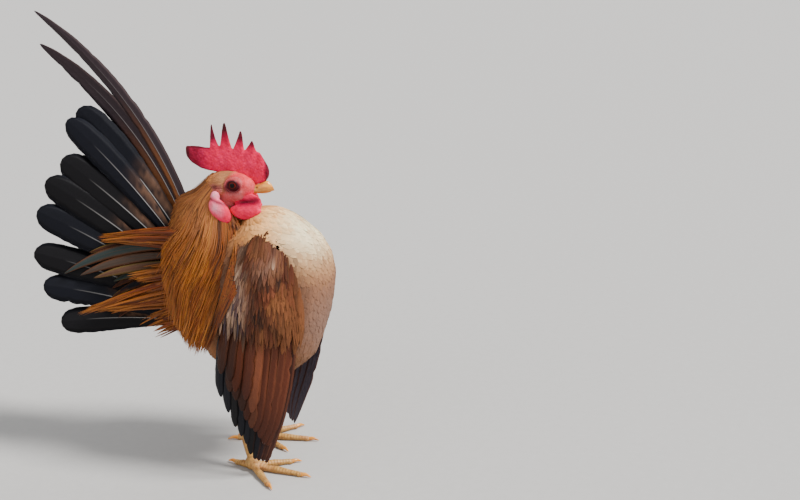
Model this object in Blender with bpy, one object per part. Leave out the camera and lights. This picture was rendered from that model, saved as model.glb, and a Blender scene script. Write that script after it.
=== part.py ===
"""A serama cock at life size. It stands high, breast forward and head drawn back, and its wings hang.

+X is the way the bird faces, +Y is its left and +Z is up. Sizes are in metres, and MM turns millimetres
into them. Tables of places are in millimetres, from a point on the floor between the feet. The last step
moves the origin to the point on the floor under the middle of the bird's box.
"""

import math
import random

import bmesh
import bpy
from mathutils import Matrix, Vector
from mathutils.bvhtree import BVHTree

MM = 0.001
GAP = 0.35 * MM
SIDES = {"right": -1, "left": 1}
BACKWARDS = Vector((0, -1, 0))
REACH = 60 * MM

# Torso, as level rings: height, back, front and half width.
TORSO_RINGS = (
    (54, -15, 10, 11),
    (61, -26, 22, 20),
    (70, -35, 33, 28),
    (81, -43, 38, 33.5),
    (94, -48, 42.3, 36.5),
    (107, -49, 45, 37.6),
    (120, -45, 46.3, 37),
    (132, -37, 44.2, 34.5),
    (143, -27, 38, 29.5),
    (152, -13, 28.8, 20.5),
    (158, -9, 21.5, 13),
    (161.8, -5, 13.5, 8),
)
TORSO_BOTTOM, TORSO_TOP, TORSO_SIDES = (-2, 50), (4, 163.6), 22

# Neck under the hackle, as level rings. Its foot is sunk in the torso.
NECK_RINGS = (
    (120, -44, 8, 24),
    (130, -46, 4, 23.5),
    (139, -45.5, -1, 21),
    (148, -43, -8, 16.5),
    (157, -45, -12.5, 12.5),
    (165, -42, -15, 9.5),
)
NECK_BOTTOM, NECK_TOP, NECK_SIDES = (-18, 116), (-25, 169), 14

# Outside of the hackle, as level rings through its tips.
CAPE_RINGS = (
    (80, -44, -16, 42),
    (100, -53, -10, 43),
    (120, -60, -6, 42),
    (138, -63, -2, 35),
    (150, -57, -6, 24),
    (160, -55, -11, 16),
    (166, -51, -14, 12),
    (170, -42, -14, 10),
)
# Hackle tiers, from the lowest: root height, tip height at the side, how much higher the tips behind
# end, first and last angle from the back, locks a side and half width.
HACKLE_TIERS = (
    (143, 84, 20, 48, 132, 5, 6.6),
    (150, 101, 18, 28, 124, 5, 6.8),
    (158, 121, 13, 18, 104, 4, 7.0),
    (166, 143, 6, 18, 84, 3, 6.2),
)
HACKLE_LIFT, HACKLE_OVER, HACKLE_STEP = 1.0 * MM, 1.5 * MM, 0.5 * MM
HACKLE_TURN = 2 * MM
LOCK_THICK = 0.55 * MM
LOCK_STOPS = ((0, 0.5), (0.3, 0.85), (0.65, 1), (0.88, 0.55))

# Head, as upright rings along the skull: forward place, height of the middle, half height and half width.
HEAD_RINGS = (
    (-35.5, 171, 5, 5),
    (-31, 171.3, 8.6, 8),
    (-24, 172, 10.4, 10.2),
    (-16, 172, 10.4, 10.7),
    (-10, 172, 8.9, 9.2),
    (-5.5, 172.2, 6.4, 6.8),
)
HEAD_BACK, HEAD_FRONT = (-37.5, 171), (-3, 172.3)

EYE_RADIUS = 4.3 * MM
EYE_PLACE = (-14.3, 7.3, 175.2)
LID_RADIUS, LID_THICKNESS, LID_OUT = 3.9 * MM, 0.8 * MM, 9.9

# Beak, as upright rings: forward place, top, mouth line, underside and half width.
BEAK_RINGS = (
    (-9, 175.5, 170.5, 167.8, 4.4),
    (-5, 174.3, 170.9, 168.5, 4.0),
    (-1, 174.9, 171.2, 169.2, 3.3),
    (3, 176.7, 171.5, 169.4, 2.7),
    (6, 175.8, 171.5, 170.3, 1.8),
)
BEAK_TIPS = {"upper": (8.8, 171.2), "lower": (7.2, 171.3)}
BEAK_ROOTS = {"upper": 172.5, "lower": 168.9}
MOUTH_GAPS = {"upper": 0.15, "lower": -0.2}
LOWER_NARROWER = 0.86
NOSTRIL, NOSTRIL_RADIUS = (-1.8, 2.9, 173), 0.75 * MM
GAPE_BACK, GAPE_HEIGHT, GAPE_THICK, GAPE_DEEP = -11.5, 170.3, 0.6, 1.2

# Comb: the line of its foot, the line of its valleys, and each point's place, tip height and half widths
# behind and before.
COMB_FOOT = (
    (-47.9, 194.6), (-46.3, 188.8), (-43.9, 186.1), (-38.1, 182.8), (-33.8, 181.7), (-27.1, 180.8),
    (-12, 177), (-2, 174.5), (3.2, 176.2), (5.5, 180.5),
)
COMB_TOP = (
    (-47.9, 195.9), (-40, 196.3), (-31.7, 195.6), (-26, 196.6), (-17.5, 195.4), (-9.8, 194.8), (-2.3, 194.8),
    (0.1, 194), (2.7, 189.7), (5.5, 184),
)
COMB_POINTS = (
    (-30.4, 209.9, 1.4, 4.1), (-22.2, 211, 3.2, 4.2), (-11.9, 206.7, 5.0, 2.1), (-4.8, 200.9, 4.0, 2.5)
)
COMB_LOBE = (-46.2, -44, -40, -36)
COMB_BACK, COMB_FRONT = (-47.9, 195.3), (5.9, 182.2)
COMB_LEVELS = ((0, 2.2), (0.55, 1.4))

# Wattle and ear lobe, as egg shapes: forward place, distance out, height, and three half sizes.
WATTLE_FLAP, WATTLE_FOLD = (-6, 6.6, 163.4, 8.4, 1.7, 6.2), (-6.8, 8.6, 159.2, 9.8, 2.4, 3.7)
LOBE_LOW, LOBE_HIGH = (-21.2, 13.4, 159.9, 5.6, 2.9, 8.7), (-24.6, 12.0, 168.2, 2.9, 2.4, 3.4)
WATTLE_LEAN, LOBE_LEAN = 8, -40
WATTLE_BACK = {"right": 0, "left": 3.8}

# Wing, as level lines down its length: height, back edge, front edge and how far out its middle hangs.
WING_LINES = (
    (151, 7, 11, 25.5),
    (147.5, 3, 15, 27.5),
    (142, -4, 21.5, 32.5),
    (135, -6, 27.5, 36.5),
    (127, -7.5, 32, 39.5),
    (117, -9, 36, 41.5),
    (100, -13, 37, 42.6),
    (81, -17, 35, 42.8),
    (60, -19, 31, 42),
    (40, -17, 25, 40.8),
    (25, -14, 19, 39.6),
    (8, -9, 13, 38.5),
)
WING_PLATE_LEVELS = (147.5, 142, 130, 117, 105, 97)
WING_PLATE_SHARES = (-0.9, -0.45, 0, 0.45, 0.9)
WING_PLATE_OUT, WING_PLATE_IN = 1.8 * MM, -1.4 * MM
WING_CAMBER = {"back": 4.0 * MM, "front": 9.0 * MM}
# Tiers of the wing's feathers, from the innermost: how many, first and last place across the wing (1 at
# the front edge), height of the roots, tip height at the front, how much higher the tips behind end and
# by which power, half width, and how far out the root and the tip lie.
WING_TIERS = (
    (7, 0.78, -0.84, 106, 9, 42, 2.2, 4.6, -0.3, -1.2),
    (4, 0.66, -0.5, 104, 23, 34, 1.5, 6.4, 0.8, 0.9),
    (6, 0.78, -0.82, 111, 84, 6, 1, 5.0, 0.6, 3.0),
    (5, 0.74, -0.76, 127, 103, 3, 1, 5.6, 0.4, 3.6),
    (4, 0.62, -0.66, 141, 122, 2, 1, 5.4, 0.2, 3.4),
)
LONG_STOPS = ((0, 0.5), (0.45, 0.95), (0.9, 0.85))
SHORT_STOPS = ((0, 0.5), (0.45, 1), (0.85, 0.75))
WING_LOUVRE = 0.15
WING_BACK = {"right": 0, "left": 4}
VANE_THICK = 0.5 * MM

# Tail: its middle, then each pair's root place and height, lean from level, length and half width, from the top.
TAIL_ROOT = Vector((-45, 0, 112)) * MM
TAIL_FEATHERS = (
    (-49, 135.3, 121.9, 105.2, 9.8),
    (-49.5, 128.5, 126.0, 102.4, 9.4),
    (-50, 121, 130.7, 99.1, 10.2),
    (-50, 111, 135.1, 104.6, 10.0),
    (-50, 102.7, 141.1, 103.4, 9.8),
    (-50, 96.5, 151.7, 97.3, 9.4),
    (-50, 89.5, 158.3, 88.2, 9.0),
    (-50, 87.5, 172.5, 75.4, 8.4),
)
TAIL_BEND, TAIL_TILT, TAIL_CAMBER = 14, 0.45, 0.1
TAIL_SPLAY, TAIL_SPLAY_STEP = 0.02, 0.045
TAIL_OUT, TAIL_STEP = 2.4, 0.7
TAIL_STOPS = ((0, 0.35), (0.32, 0.68), (0.68, 0.97), (0.92, 0.93), (0.98, 0.55))
RUMP = (-5, 6.6, -1, 12, 6.2, 29)
RUMP_SEGMENTS, RUMP_RINGS = 9, 8
# The small curved feathers over the tail's foot: lean, length, half width and how far out they lie.
TAIL_COVERTS = ((145, 67, 4.2, 1.4), (157, 65, 4.2, 2.6), (169, 56, 3.8, 3.8))
COVERT_BEND, COVERT_START = 60, (-2, 10, 8)
# The two long curved feathers: root, lean, length and half width.
SICKLES = {"right": ((-38, 1.5, 118), 100, 193, 4.6), "left": ((-41, 1.5, 116), 103.5, 177, 6.2)}
SICKLE_BEND, SICKLE_SPLAY = 46, 0.02
SICKLE_STOPS = (
    (0, 0.4), (0.12, 0.6), (0.26, 0.85), (0.42, 1), (0.58, 1), (0.72, 0.9), (0.85, 0.7), (0.95, 0.38)
)

# Saddle hackle: the pad that it grows from, then its rows: root height, lean, length and half width.
SADDLE_PAD = (-41, 20, 113, 9, 9, 17)
SADDLE_ROWS = ((125, 151, 64, 4.2), (111, 173, 68, 4.4), (100, 184, 62, 4.4))
SADDLE_OUTS = (14, 20, 26)
SADDLE_BEND, SADDLE_LIFT, SADDLE_STEP = 18, 1.0 * MM, 1.6 * MM

# Legs: the hock, the foot's pad, the thigh's top, and each toe's direction and length.
HOCK = {"right": (-14, 21, 43), "left": (-27, 20, 43)}
FOOT = {"right": (-1, 24, 6.5), "left": (-14, 24, 6.5)}
THIGH_TOP = {"right": (-2, 20, 72), "left": (-10, 20, 72)}
TOES = {"inner": (19, -13, 25), "middle": (34, 4, 33), "outer": (19, 24, 29), "back": (-15, -6, 14)}
TOE_HEIGHTS = ((0, 3.4), (0.3, 1.9), (0.52, 2.1), (0.76, 1.7), (1, 1.7))
TOE_RADII = (2.7, 2.0, 2.4, 1.8, 1.5)
PAD = (4.6, 4.8, 4.6, 5.4)
# Radii along the thigh and the shank, then the spur's and the claws' places and radii.
THIGH_STOPS = ((0, 13), (0.35, 11), (0.7, 7), (0.95, 4))
SHANK_STOPS = ((0, 3.2), (0.1, 3.3), (0.3, 2.6), (0.6, 2.5), (0.82, 2.9))
SPUR_AT, SPUR_STOPS = 0.62, ((0, 0, 0, 1.7), (-3, -2, -0.5, 1.3), (-5.5, -3.2, 0, 0.5))
CLAW_STOPS = ((0.8, 0, 1.2), (3.4, 0.2, 0.9), (5.8, -0.7, 0.4))

HACKLE_SEED = 11


def mm(x, y, z):
    """A place given in millimetres."""
    return Vector((x, y, z)) * MM


def mix(a, b, t):
    return a + (b - a) * t


def at(table, value):
    """A table's row at a value of its first column, which may rise or fall down the table."""
    rows = table if table[0][0] < table[-1][0] else table[::-1]
    for low, high in zip(rows, rows[1:]):
        if value <= high[0] or high is rows[-1]:
            t = min(max((value - low[0]) / (high[0] - low[0]), 0), 1)
            return [mix(a, b, t) for a, b in zip(low[1:], high[1:])]


def material(name, colour, roughness=0.7):
    made = bpy.data.materials.new(name)
    made.use_nodes = True
    shader = made.node_tree.nodes["Principled BSDF"]
    shader.inputs["Base Color"].default_value = (*colour, 1)
    shader.inputs["Roughness"].default_value = roughness
    shader.inputs["Metallic"].default_value = 0
    return made


def turn_out(obj):
    """Turns a closed mesh's faces to point outwards."""
    shape = bmesh.new()
    shape.from_mesh(obj.data)
    bmesh.ops.recalc_face_normals(shape, faces=shape.faces)
    if shape.calc_volume(signed=True) < 0:
        bmesh.ops.reverse_faces(shape, faces=shape.faces)
    shape.to_mesh(obj.data)
    shape.free()


def piece(name, points, faces):
    mesh = bpy.data.meshes.new(name)
    mesh.from_pydata([tuple(p) for p in points], [], faces)
    made = bpy.data.objects.new(name, mesh)
    bpy.context.scene.collection.objects.link(made)
    turn_out(made)
    return made


def solid(name, rings, start, end, half=None):
    """A closed mesh through rings of points, ending in one point at each end.

    From the ring's point number `half` on, faces are split the other way, so that a thin shape is split
    alike on both faces.
    """
    count = len(rings[0])
    half = count if half is None else half
    points = [start, *[p for ring in rings for p in ring], end]
    last = len(points) - 1
    faces = []
    for i in range(count):
        j = (i + 1) % count
        faces.append((0, 1 + j, 1 + i))
        faces.append((last, last - count + i, last - count + j))
        for r in range(len(rings) - 1):
            a, b = 1 + r * count + i, 1 + r * count + j
            c, d = b + count, a + count
            faces += [(a, b, c), (a, c, d)] if i < half else [(a, b, d), (b, c, d)]
    return piece(name, points, faces)


def level_point(row, turn, height, fullness=0.88):
    """A place on a level oval of a given back, front and half width; turn is 0 behind and pi in front."""
    back, front, half_width = row
    c, s = math.cos(turn), math.sin(turn)
    x = mix(back, front, 0.5) - (front - back) / 2 * math.copysign(abs(c) ** fullness, c)
    return mm(x, half_width * math.copysign(abs(s) ** fullness, s), height)


def level_loft(name, rows, bottom, top, count):
    turns = [2 * math.pi * i / count for i in range(count)]
    rings = [[level_point(row[1:], turn, row[0]) for turn in turns] for row in rows]
    return solid(name, rings, mm(bottom[0], 0, bottom[1]), mm(top[0], 0, top[1]))


def egg(name, centre, radii, turn=Matrix.Identity(3), segments=12, rings=8):
    """An egg-shaped solid with the given half sizes."""
    rows = []
    for r in range(1, rings):
        lean = math.pi * r / rings
        row = []
        for i in range(segments):
            around = 2 * math.pi * i / segments
            unit = (math.sin(lean) * math.cos(around), math.sin(lean) * math.sin(around), math.cos(lean))
            row.append(centre + turn @ Vector([a * b for a, b in zip(unit, radii)]))
        rows.append(row)
    pole = turn @ Vector((0, 0, radii[2]))
    return solid(name, rows, centre + pole, centre - pole)


def side_egg(name, sizes, side, lean=0, axis="X", segments=9, rings=6):
    """An egg from a row of sizes in millimetres, on one side of the bird."""
    x, out, z, *radii = sizes
    turn = Matrix.Rotation(math.radians(lean), 3, axis)
    return egg(name, mm(x, out * SIDES[side], z), [r * MM for r in radii], turn, segments, rings)


def rod(name, path, radii, count=8):
    """A round rod along a path, with its radius in millimetres at each point."""
    rings = []
    turns = [2 * math.pi * k / count for k in range(count)]
    for i, place in enumerate(path):
        ahead = path[min(i + 1, len(path) - 1)] - path[max(i - 1, 0)]
        side = ahead.cross(Vector((0, 0, 1))).normalized()
        up = side.cross(ahead).normalized()
        rings.append([place + (side * math.cos(t) + up * math.sin(t)) * radii[i] * MM for t in turns])
    start = path[0] - (path[1] - path[0]).normalized() * radii[0] * MM * 0.6
    end = path[-1] + (path[-1] - path[-2]).normalized() * radii[-1] * MM * 0.6
    return solid(name, rings, start, end)


def vane(name, spine, outs, half_widths, thick, camber=0.0, sharp=False):
    """A feather along its spine, thickest along its shaft and tapering to its tip.

    outs are the ways that its outer face looks. A sharp vane has thin edges, which suits a lock.
    """
    rings = []
    for i, wide in enumerate(half_widths):
        ahead = (spine[i + 1] - spine[max(i - 1, 0)]).normalized()
        out = (outs[i] - ahead * outs[i].dot(ahead)).normalized()
        side = ahead.cross(out)
        shaft, edge, drop = out * thick, out * thick * 0.5, out * camber * wide
        left, right = spine[i] - side * wide - drop, spine[i] + side * wide - drop
        top, under = spine[i] + shaft, spine[i] - shaft
        blunt = [left + edge, top, right + edge, right - edge, under, left - edge]
        rings.append([left, top, right, under] if sharp else blunt)
    start = spine[0] - (spine[1] - spine[0]).normalized() * half_widths[0] * 0.5
    return solid(name, rings, start, spine[-1], half=len(rings[0]) // 2)


def along_arc(root, heading, bend, length, t):
    """The place and the heading a share t along an arc that starts at root and bends back and down."""
    half = math.radians(bend) * t / 2
    chord = length * t * (math.sin(half) / half if half else 1)
    place = root + Matrix.Rotation(half, 3, BACKWARDS) @ heading * chord
    return place, Matrix.Rotation(2 * half, 3, BACKWARDS) @ heading


def upright_vane(side, root, lean, splay, bend, length, half_width, stops, tilt=0.0, camber=0.0):
    """A tail feather that stands on edge, so that its broad face looks sideways."""
    sign = SIDES[side]
    a = math.radians(lean)
    heading = Vector((math.cos(a), splay * sign, math.sin(a))).normalized()
    spine, outs = [], []
    for t in [stop[0] for stop in stops] + [1]:
        place, ahead = along_arc(root, heading, bend, length * MM, t)
        lower = Vector((-ahead.z, 0, ahead.x)).normalized()
        spine.append(place)
        outs.append(Vector((0, sign, 0)) - lower * tilt)
    widths = [share * half_width * MM for _, share in stops]
    return vane("feather", spine, outs, widths, VANE_THICK, camber)


def boolean(target, others, operation):
    """Joins closed meshes to the target, or cuts them from it, and removes them."""
    group = bpy.data.collections.new("operands")
    bpy.context.scene.collection.children.link(group)
    for other in others:
        group.objects.link(other)
    change = target.modifiers.new("join", "BOOLEAN")
    change.operation = operation
    change.operand_type = "COLLECTION"
    change.collection = group
    change.solver = "MANIFOLD"
    graph = bpy.context.evaluated_depsgraph_get()
    mesh = bpy.data.meshes.new_from_object(target.evaluated_get(graph), depsgraph=graph)
    target.modifiers.clear()
    target.data = mesh
    for other in others:
        bpy.data.objects.remove(other)
    bpy.data.collections.remove(group)


def surface_volume(faces):
    """Six times the volume that a closed group of faces holds."""
    total = 0
    for face in faces:
        first, *rest = [loop.vert.co for loop in face.loops]
        for b, c in zip(rest, rest[1:]):
            total += first.dot(b.cross(c))
    return total


def keep_largest(obj):
    """Keeps the mesh's largest closed surface, which fills sealed hollows and drops scraps."""
    shape = bmesh.new()
    shape.from_mesh(obj.data)
    unseen, groups = set(shape.faces), []
    while unseen:
        stack, group = [unseen.pop()], []
        while stack:
            face = stack.pop()
            group.append(face)
            found = {other for edge in face.edges for other in edge.link_faces} & unseen
            unseen -= found
            stack += found
        groups.append(group)
    groups.sort(key=surface_volume, reverse=True)
    spare = [face for group in groups[1:] for face in group]
    bmesh.ops.delete(shape, geom=spare, context="FACES")
    shape.to_mesh(obj.data)
    shape.free()


def grown(obj, by=GAP):
    """A copy of a finished node, grown on every side, to cut its neighbours clear of it."""
    shape = bmesh.new()
    shape.from_mesh(obj.data)
    shape.normal_update()
    moves = [(vert, vert.normal * by * min(vert.calc_shell_factor(), 2)) for vert in shape.verts]
    for vert, move in moves:
        vert.co += move
    mesh = bpy.data.meshes.new("grown")
    shape.to_mesh(mesh)
    shape.free()
    made = bpy.data.objects.new("grown", mesh)
    bpy.context.scene.collection.objects.link(made)
    return made


def node(name, pieces, finish, clear_of=()):
    """One named solid: its pieces joined, then cut clear of its finished neighbours."""
    made = pieces[0]
    if len(pieces) > 1:
        boolean(made, pieces[1:], "UNION")
    if clear_of:
        boolean(made, [grown(other) for other in clear_of], "DIFFERENCE")
    keep_largest(made)
    made.name = name
    made.data.name = name
    made.data.materials.clear()
    made.data.materials.append(finish)
    made.data.shade_smooth()
    made.data.set_sharp_from_angle(angle=math.radians(50))
    return made


def tree_of(obj):
    """A search tree over a node's faces."""
    mesh = obj.data
    return BVHTree.FromPolygons([v.co for v in mesh.vertices], [p.vertices for p in mesh.polygons])


def clear_out(place, way, across, trees, lift):
    """Moves a place out along a way until a feather there, of half width `across`, lies outside of the trees.

    Gives how far the place was moved.
    """
    need = 0
    for tree in trees:
        for share in (-0.8, 0, 0.8):
            gone = tree.ray_cast(place + across * share + way * REACH, -way, REACH + lift)[3]
            if gone is not None:
                need = max(need, REACH - gone + lift)
    place += way * need
    return need


def make_torso(finish):
    return node("torso", [level_loft("torso", TORSO_RINGS, TORSO_BOTTOM, TORSO_TOP, TORSO_SIDES)], finish)


def make_eye(side, finish):
    x, out, z = EYE_PLACE
    centre = mm(x, out * SIDES[side], z)
    return node(f"eye_{side}", [egg("eye", centre, [EYE_RADIUS] * 3, segments=10, rings=7)], finish)


def lid(side, steps=10, around=4):
    """The raised rim of skin round the eye."""
    x, _, z = EYE_PLACE
    centre = mm(x, LID_OUT * SIDES[side], z)
    points, faces = [], []
    for i in range(steps):
        turn = 2 * math.pi * i / steps
        out = Vector((math.cos(turn), 0, math.sin(turn)))
        for k in range(around):
            t = 2 * math.pi * k / around
            thick = out * math.cos(t) + Vector((0, 1.4 * math.sin(t), 0))
            points.append(centre + out * LID_RADIUS + thick * LID_THICKNESS)
            a, b = i * around + k, i * around + (k + 1) % around
            c, d = (i + 1) % steps * around + (k + 1) % around, (i + 1) % steps * around + k
            faces += [(a, b, c), (a, c, d)]
    return piece("lid", points, faces)


def block(name, low, high):
    """A box between two corners in millimetres."""
    x0, y0, z0 = low
    x1, y1, z1 = high
    corners = [(x0, y0), (x1, y0), (x1, y1), (x0, y1)]
    points = [mm(x, y, z) for z in (z0, z1) for x, y in corners]
    sides = [(i, (i + 1) % 4, 4 + (i + 1) % 4, 4 + i) for i in range(4)]
    return piece(name, points, [(3, 2, 1, 0), (4, 5, 6, 7), *sides])


def skull(inset, count):
    """The head's rounded form, drawn in by an inset in millimetres."""
    turns = [2 * math.pi * k / count for k in range(count)]
    rings = []
    for x, middle, half_height, half_width in HEAD_RINGS:
        wide, high = half_width - inset, half_height - inset
        rings.append([mm(x, wide * math.sin(t), middle + high * math.cos(t)) for t in turns])
    back, front = mm(HEAD_BACK[0], 0, HEAD_BACK[1]), mm(HEAD_FRONT[0], 0, HEAD_FRONT[1])
    return solid("head", rings, back, front)


def make_head(eyes, finish):
    """The skull with the lids' rims, and a groove for each corner of the mouth behind the beak."""
    made = skull(0, 12)
    boolean(made, [lid(side) for side in SIDES], "UNION")
    low, high = GAPE_HEIGHT - GAPE_THICK / 2, GAPE_HEIGHT + GAPE_THICK / 2
    groove = block("gape", (GAPE_BACK, -12, low), (0, 12, high))
    boolean(groove, [skull(GAPE_DEEP, 12)], "DIFFERENCE")
    boolean(made, [groove], "DIFFERENCE")
    return node("head", [made], finish, clear_of=eyes)


def make_beak(part, finish, neighbours):
    """The upper or the lower half of the beak, flat along the mouth."""
    rings, count = [], 7
    for x, top, mouth, under, half_width in BEAK_RINGS:
        level = mouth + MOUTH_GAPS[part]
        height = top - level if part == "upper" else under - level
        wide = half_width if part == "upper" else LOWER_NARROWER * half_width
        turns = [math.pi * k / (count - 1) for k in range(count)]
        rings.append([mm(x, wide * math.cos(t), level + height * math.sin(t)) for t in turns])
    x, z = BEAK_TIPS[part]
    made = solid("beak", rings, mm(BEAK_RINGS[0][0] - 0.4, 0, BEAK_ROOTS[part]), mm(x, 0, z))
    if part == "upper":
        x, out, z = NOSTRIL
        places = [mm(x, out * sign, z) for sign in SIDES.values()]
        holes = [egg("nostril", place, [NOSTRIL_RADIUS] * 3, segments=6, rings=4) for place in places]
        boolean(made, holes, "DIFFERENCE")
    return node(f"beak_{part}", [made], finish, clear_of=neighbours)


def make_comb(finish, neighbours):
    """The single comb: an upright blade with a free lobe behind and four points."""
    places = {COMB_TOP[0][0] + 0.6, COMB_TOP[-1][0] - 0.6, *COMB_LOBE}
    for x, _, behind, before in COMB_POINTS:
        places |= {x - behind, x - 0.4 * behind, x, x + 0.4 * before, x + before}
    rings = []
    for x in sorted(places):
        foot, top = at(COMB_FOOT, x)[0], at(COMB_TOP, x)[0]
        for place, tip, behind, before in COMB_POINTS:
            away = (x - place) / (before if x > place else behind)
            top = max(top, mix(tip, top, min(abs(away), 1)))
        near = [mm(x, -thick, mix(foot, top, share)) for share, thick in COMB_LEVELS]
        far = [mm(x, thick, mix(foot, top, share)) for share, thick in reversed(COMB_LEVELS)]
        rings.append([*near, mm(x, 0, top), *far])
    back, front = mm(COMB_BACK[0], 0, COMB_BACK[1]), mm(COMB_FRONT[0], 0, COMB_FRONT[1])
    return node("comb", [solid("comb", rings, back, front)], finish, clear_of=neighbours)


def make_wattle(side, finish, neighbours):
    lean = -WATTLE_LEAN * SIDES[side]
    flap, fold = ((x - WATTLE_BACK[side], *rest) for x, *rest in (WATTLE_FLAP, WATTLE_FOLD))
    pieces = [side_egg("flap", flap, side, lean), side_egg("fold", fold, side, lean, rings=6)]
    return node(f"wattle_{side}", pieces, finish, clear_of=neighbours)


def make_lobe(side, finish, neighbours):
    low = side_egg("low", LOBE_LOW, side, LOBE_LEAN, "Y")
    high = side_egg("high", LOBE_HIGH, side, LOBE_LEAN, "Y", 8, 6)
    return node(f"lobe_{side}", [low, high], finish, clear_of=neighbours)


def wing_place(side, height, share, out=0.0):
    """A place on the wing's curved sheet and the sheet's slope there; share is 1 at its front edge."""
    back, front, away = at(WING_LINES, height)
    camber = WING_CAMBER["front" if share > 0 else "back"]
    x = mix(back, front, (share + 1) / 2)
    y = away * MM - camber * share * share + out
    slope = -2 * camber * share / ((front - back) / 2 * MM)
    return Vector(((x - WING_BACK[side]) * MM, y * SIDES[side], height * MM)), slope


def wing_plate(side):
    """The arm and hand, as one thin curved plate that the feathers grow from."""
    rings = []
    for level, height in enumerate(WING_PLATE_LEVELS):
        thick = 0.6 if level in (0, len(WING_PLATE_LEVELS) - 1) else 1
        bulge = [(share, (1 - 0.7 * share * share) * thick) for share in WING_PLATE_SHARES]
        outer = [wing_place(side, height, share, WING_PLATE_OUT * b)[0] for share, b in bulge]
        inner = [wing_place(side, height, share, WING_PLATE_IN * b)[0] for share, b in reversed(bulge)]
        rings.append(outer + inner)
    top = wing_place(side, WING_LINES[0][0], 0)[0]
    bottom = wing_place(side, WING_PLATE_LEVELS[-1] - 3, 0)[0]
    return solid("plate", rings, top, bottom, half=len(WING_PLATE_SHARES))


def make_wing(side, finish, neighbours):
    pieces = [wing_plate(side)]
    for tier, row in enumerate(WING_TIERS):
        count, first, last, root, tip, rise, power, half_width, out_root, out_tip = row
        stops = LONG_STOPS if tier < 2 else SHORT_STOPS
        for i in range(count):
            t = i / (count - 1)
            share, end = mix(first, last, t), tip + rise * t**power
            spine, outs = [], []
            for s in [stop[0] for stop in stops] + [1]:
                place, slope = wing_place(side, mix(root, end, s), share, mix(out_root, out_tip, s) * MM)
                spine.append(place)
                outs.append(Vector((-slope - WING_LOUVRE, SIDES[side], 0)))
            widths = [half_width * stop[1] * MM for stop in stops]
            pieces.append(vane("feather", spine, outs, widths, VANE_THICK, sharp=tier >= 2))
    return node(f"wing_{side}", pieces, finish, clear_of=neighbours)


def make_tail(side, finish, neighbours):
    """One half of the tail: eight broad feathers, each over the next one down, and the small curved ones."""
    sign = SIDES[side]
    x, out, z, *radii = RUMP
    place = TAIL_ROOT + mm(x, out * sign, z)
    pieces = [egg("rump", place, [r * MM for r in radii], segments=RUMP_SEGMENTS, rings=RUMP_RINGS)]
    shape = (TAIL_STOPS, TAIL_TILT, TAIL_CAMBER)
    for i, (back, height, lean, length, half_width) in enumerate(TAIL_FEATHERS):
        root = mm(back, (TAIL_OUT + TAIL_STEP * i) * sign, height)
        splay = TAIL_SPLAY + TAIL_SPLAY_STEP * i
        pieces.append(upright_vane(side, root, lean, splay, TAIL_BEND, length, half_width, *shape))
    out_way, fan = Vector((0, sign, 0)), [tree_of(feather) for feather in pieces]
    x, out, z = COVERT_START
    for lean, length, half_width, lift in TAIL_COVERTS:
        root = TAIL_ROOT + mm(x, out * sign, z)
        a = math.radians(lean)
        heading = Vector((math.cos(a), 0, math.sin(a)))
        spine = []
        for t in [stop[0] for stop in TAIL_STOPS] + [1]:
            place, _ = along_arc(root, heading, COVERT_BEND, length * MM, t)
            if t > 0.2:
                clear_out(place, out_way, heading.cross(out_way) * half_width * MM, fan, lift * MM)
            spine.append(place)
        widths = [share * half_width * MM for _, share in TAIL_STOPS]
        pieces.append(vane("covert", spine, [out_way] * len(spine), widths, VANE_THICK, sharp=True))
    return node(f"tail_{side}", pieces, finish, clear_of=neighbours)


def make_sickle(side, finish, neighbours):
    (x, out, z), lean, length, half_width = SICKLES[side]
    root = mm(x, out * SIDES[side], z)
    feather = upright_vane(side, root, lean, SICKLE_SPLAY, SICKLE_BEND, length, half_width, SICKLE_STOPS)
    return node(f"sickle_{side}", [feather], finish, clear_of=neighbours)


def make_saddle(side, finish, neighbours):
    """The saddle hackle of one side: pointed locks that hang back past the foot of the tail."""
    sign = SIDES[side]
    pieces = [side_egg("pad", SADDLE_PAD, side)]
    out_way, trees = Vector((0, sign, 0)), [tree_of(other) for other in neighbours]
    for row, (height, lean, length, half_width) in enumerate(SADDLE_ROWS):
        for i, out in enumerate(SADDLE_OUTS):
            a = math.radians(lean + 5 * (i - 1))
            heading = Vector((math.cos(a), 0, math.sin(a)))
            root = mm(SADDLE_PAD[0] + 1, out * sign, height)
            lift = SADDLE_LIFT + SADDLE_STEP * (i + row % 2 / 2)
            spine = []
            for t in [stop[0] for stop in LOCK_STOPS] + [1]:
                place, _ = along_arc(root, heading, SADDLE_BEND, length * (1 - 0.12 * i) * MM, t)
                if t > 0.2:
                    clear_out(place, out_way, heading.cross(out_way) * half_width * MM, trees, lift)
                spine.append(place)
            widths = [share * half_width * MM for _, share in LOCK_STOPS]
            pieces.append(vane("lock", spine, [out_way] * len(spine), widths, LOCK_THICK, sharp=True))
    return node(f"saddle_{side}", pieces, finish, clear_of=neighbours)


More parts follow.
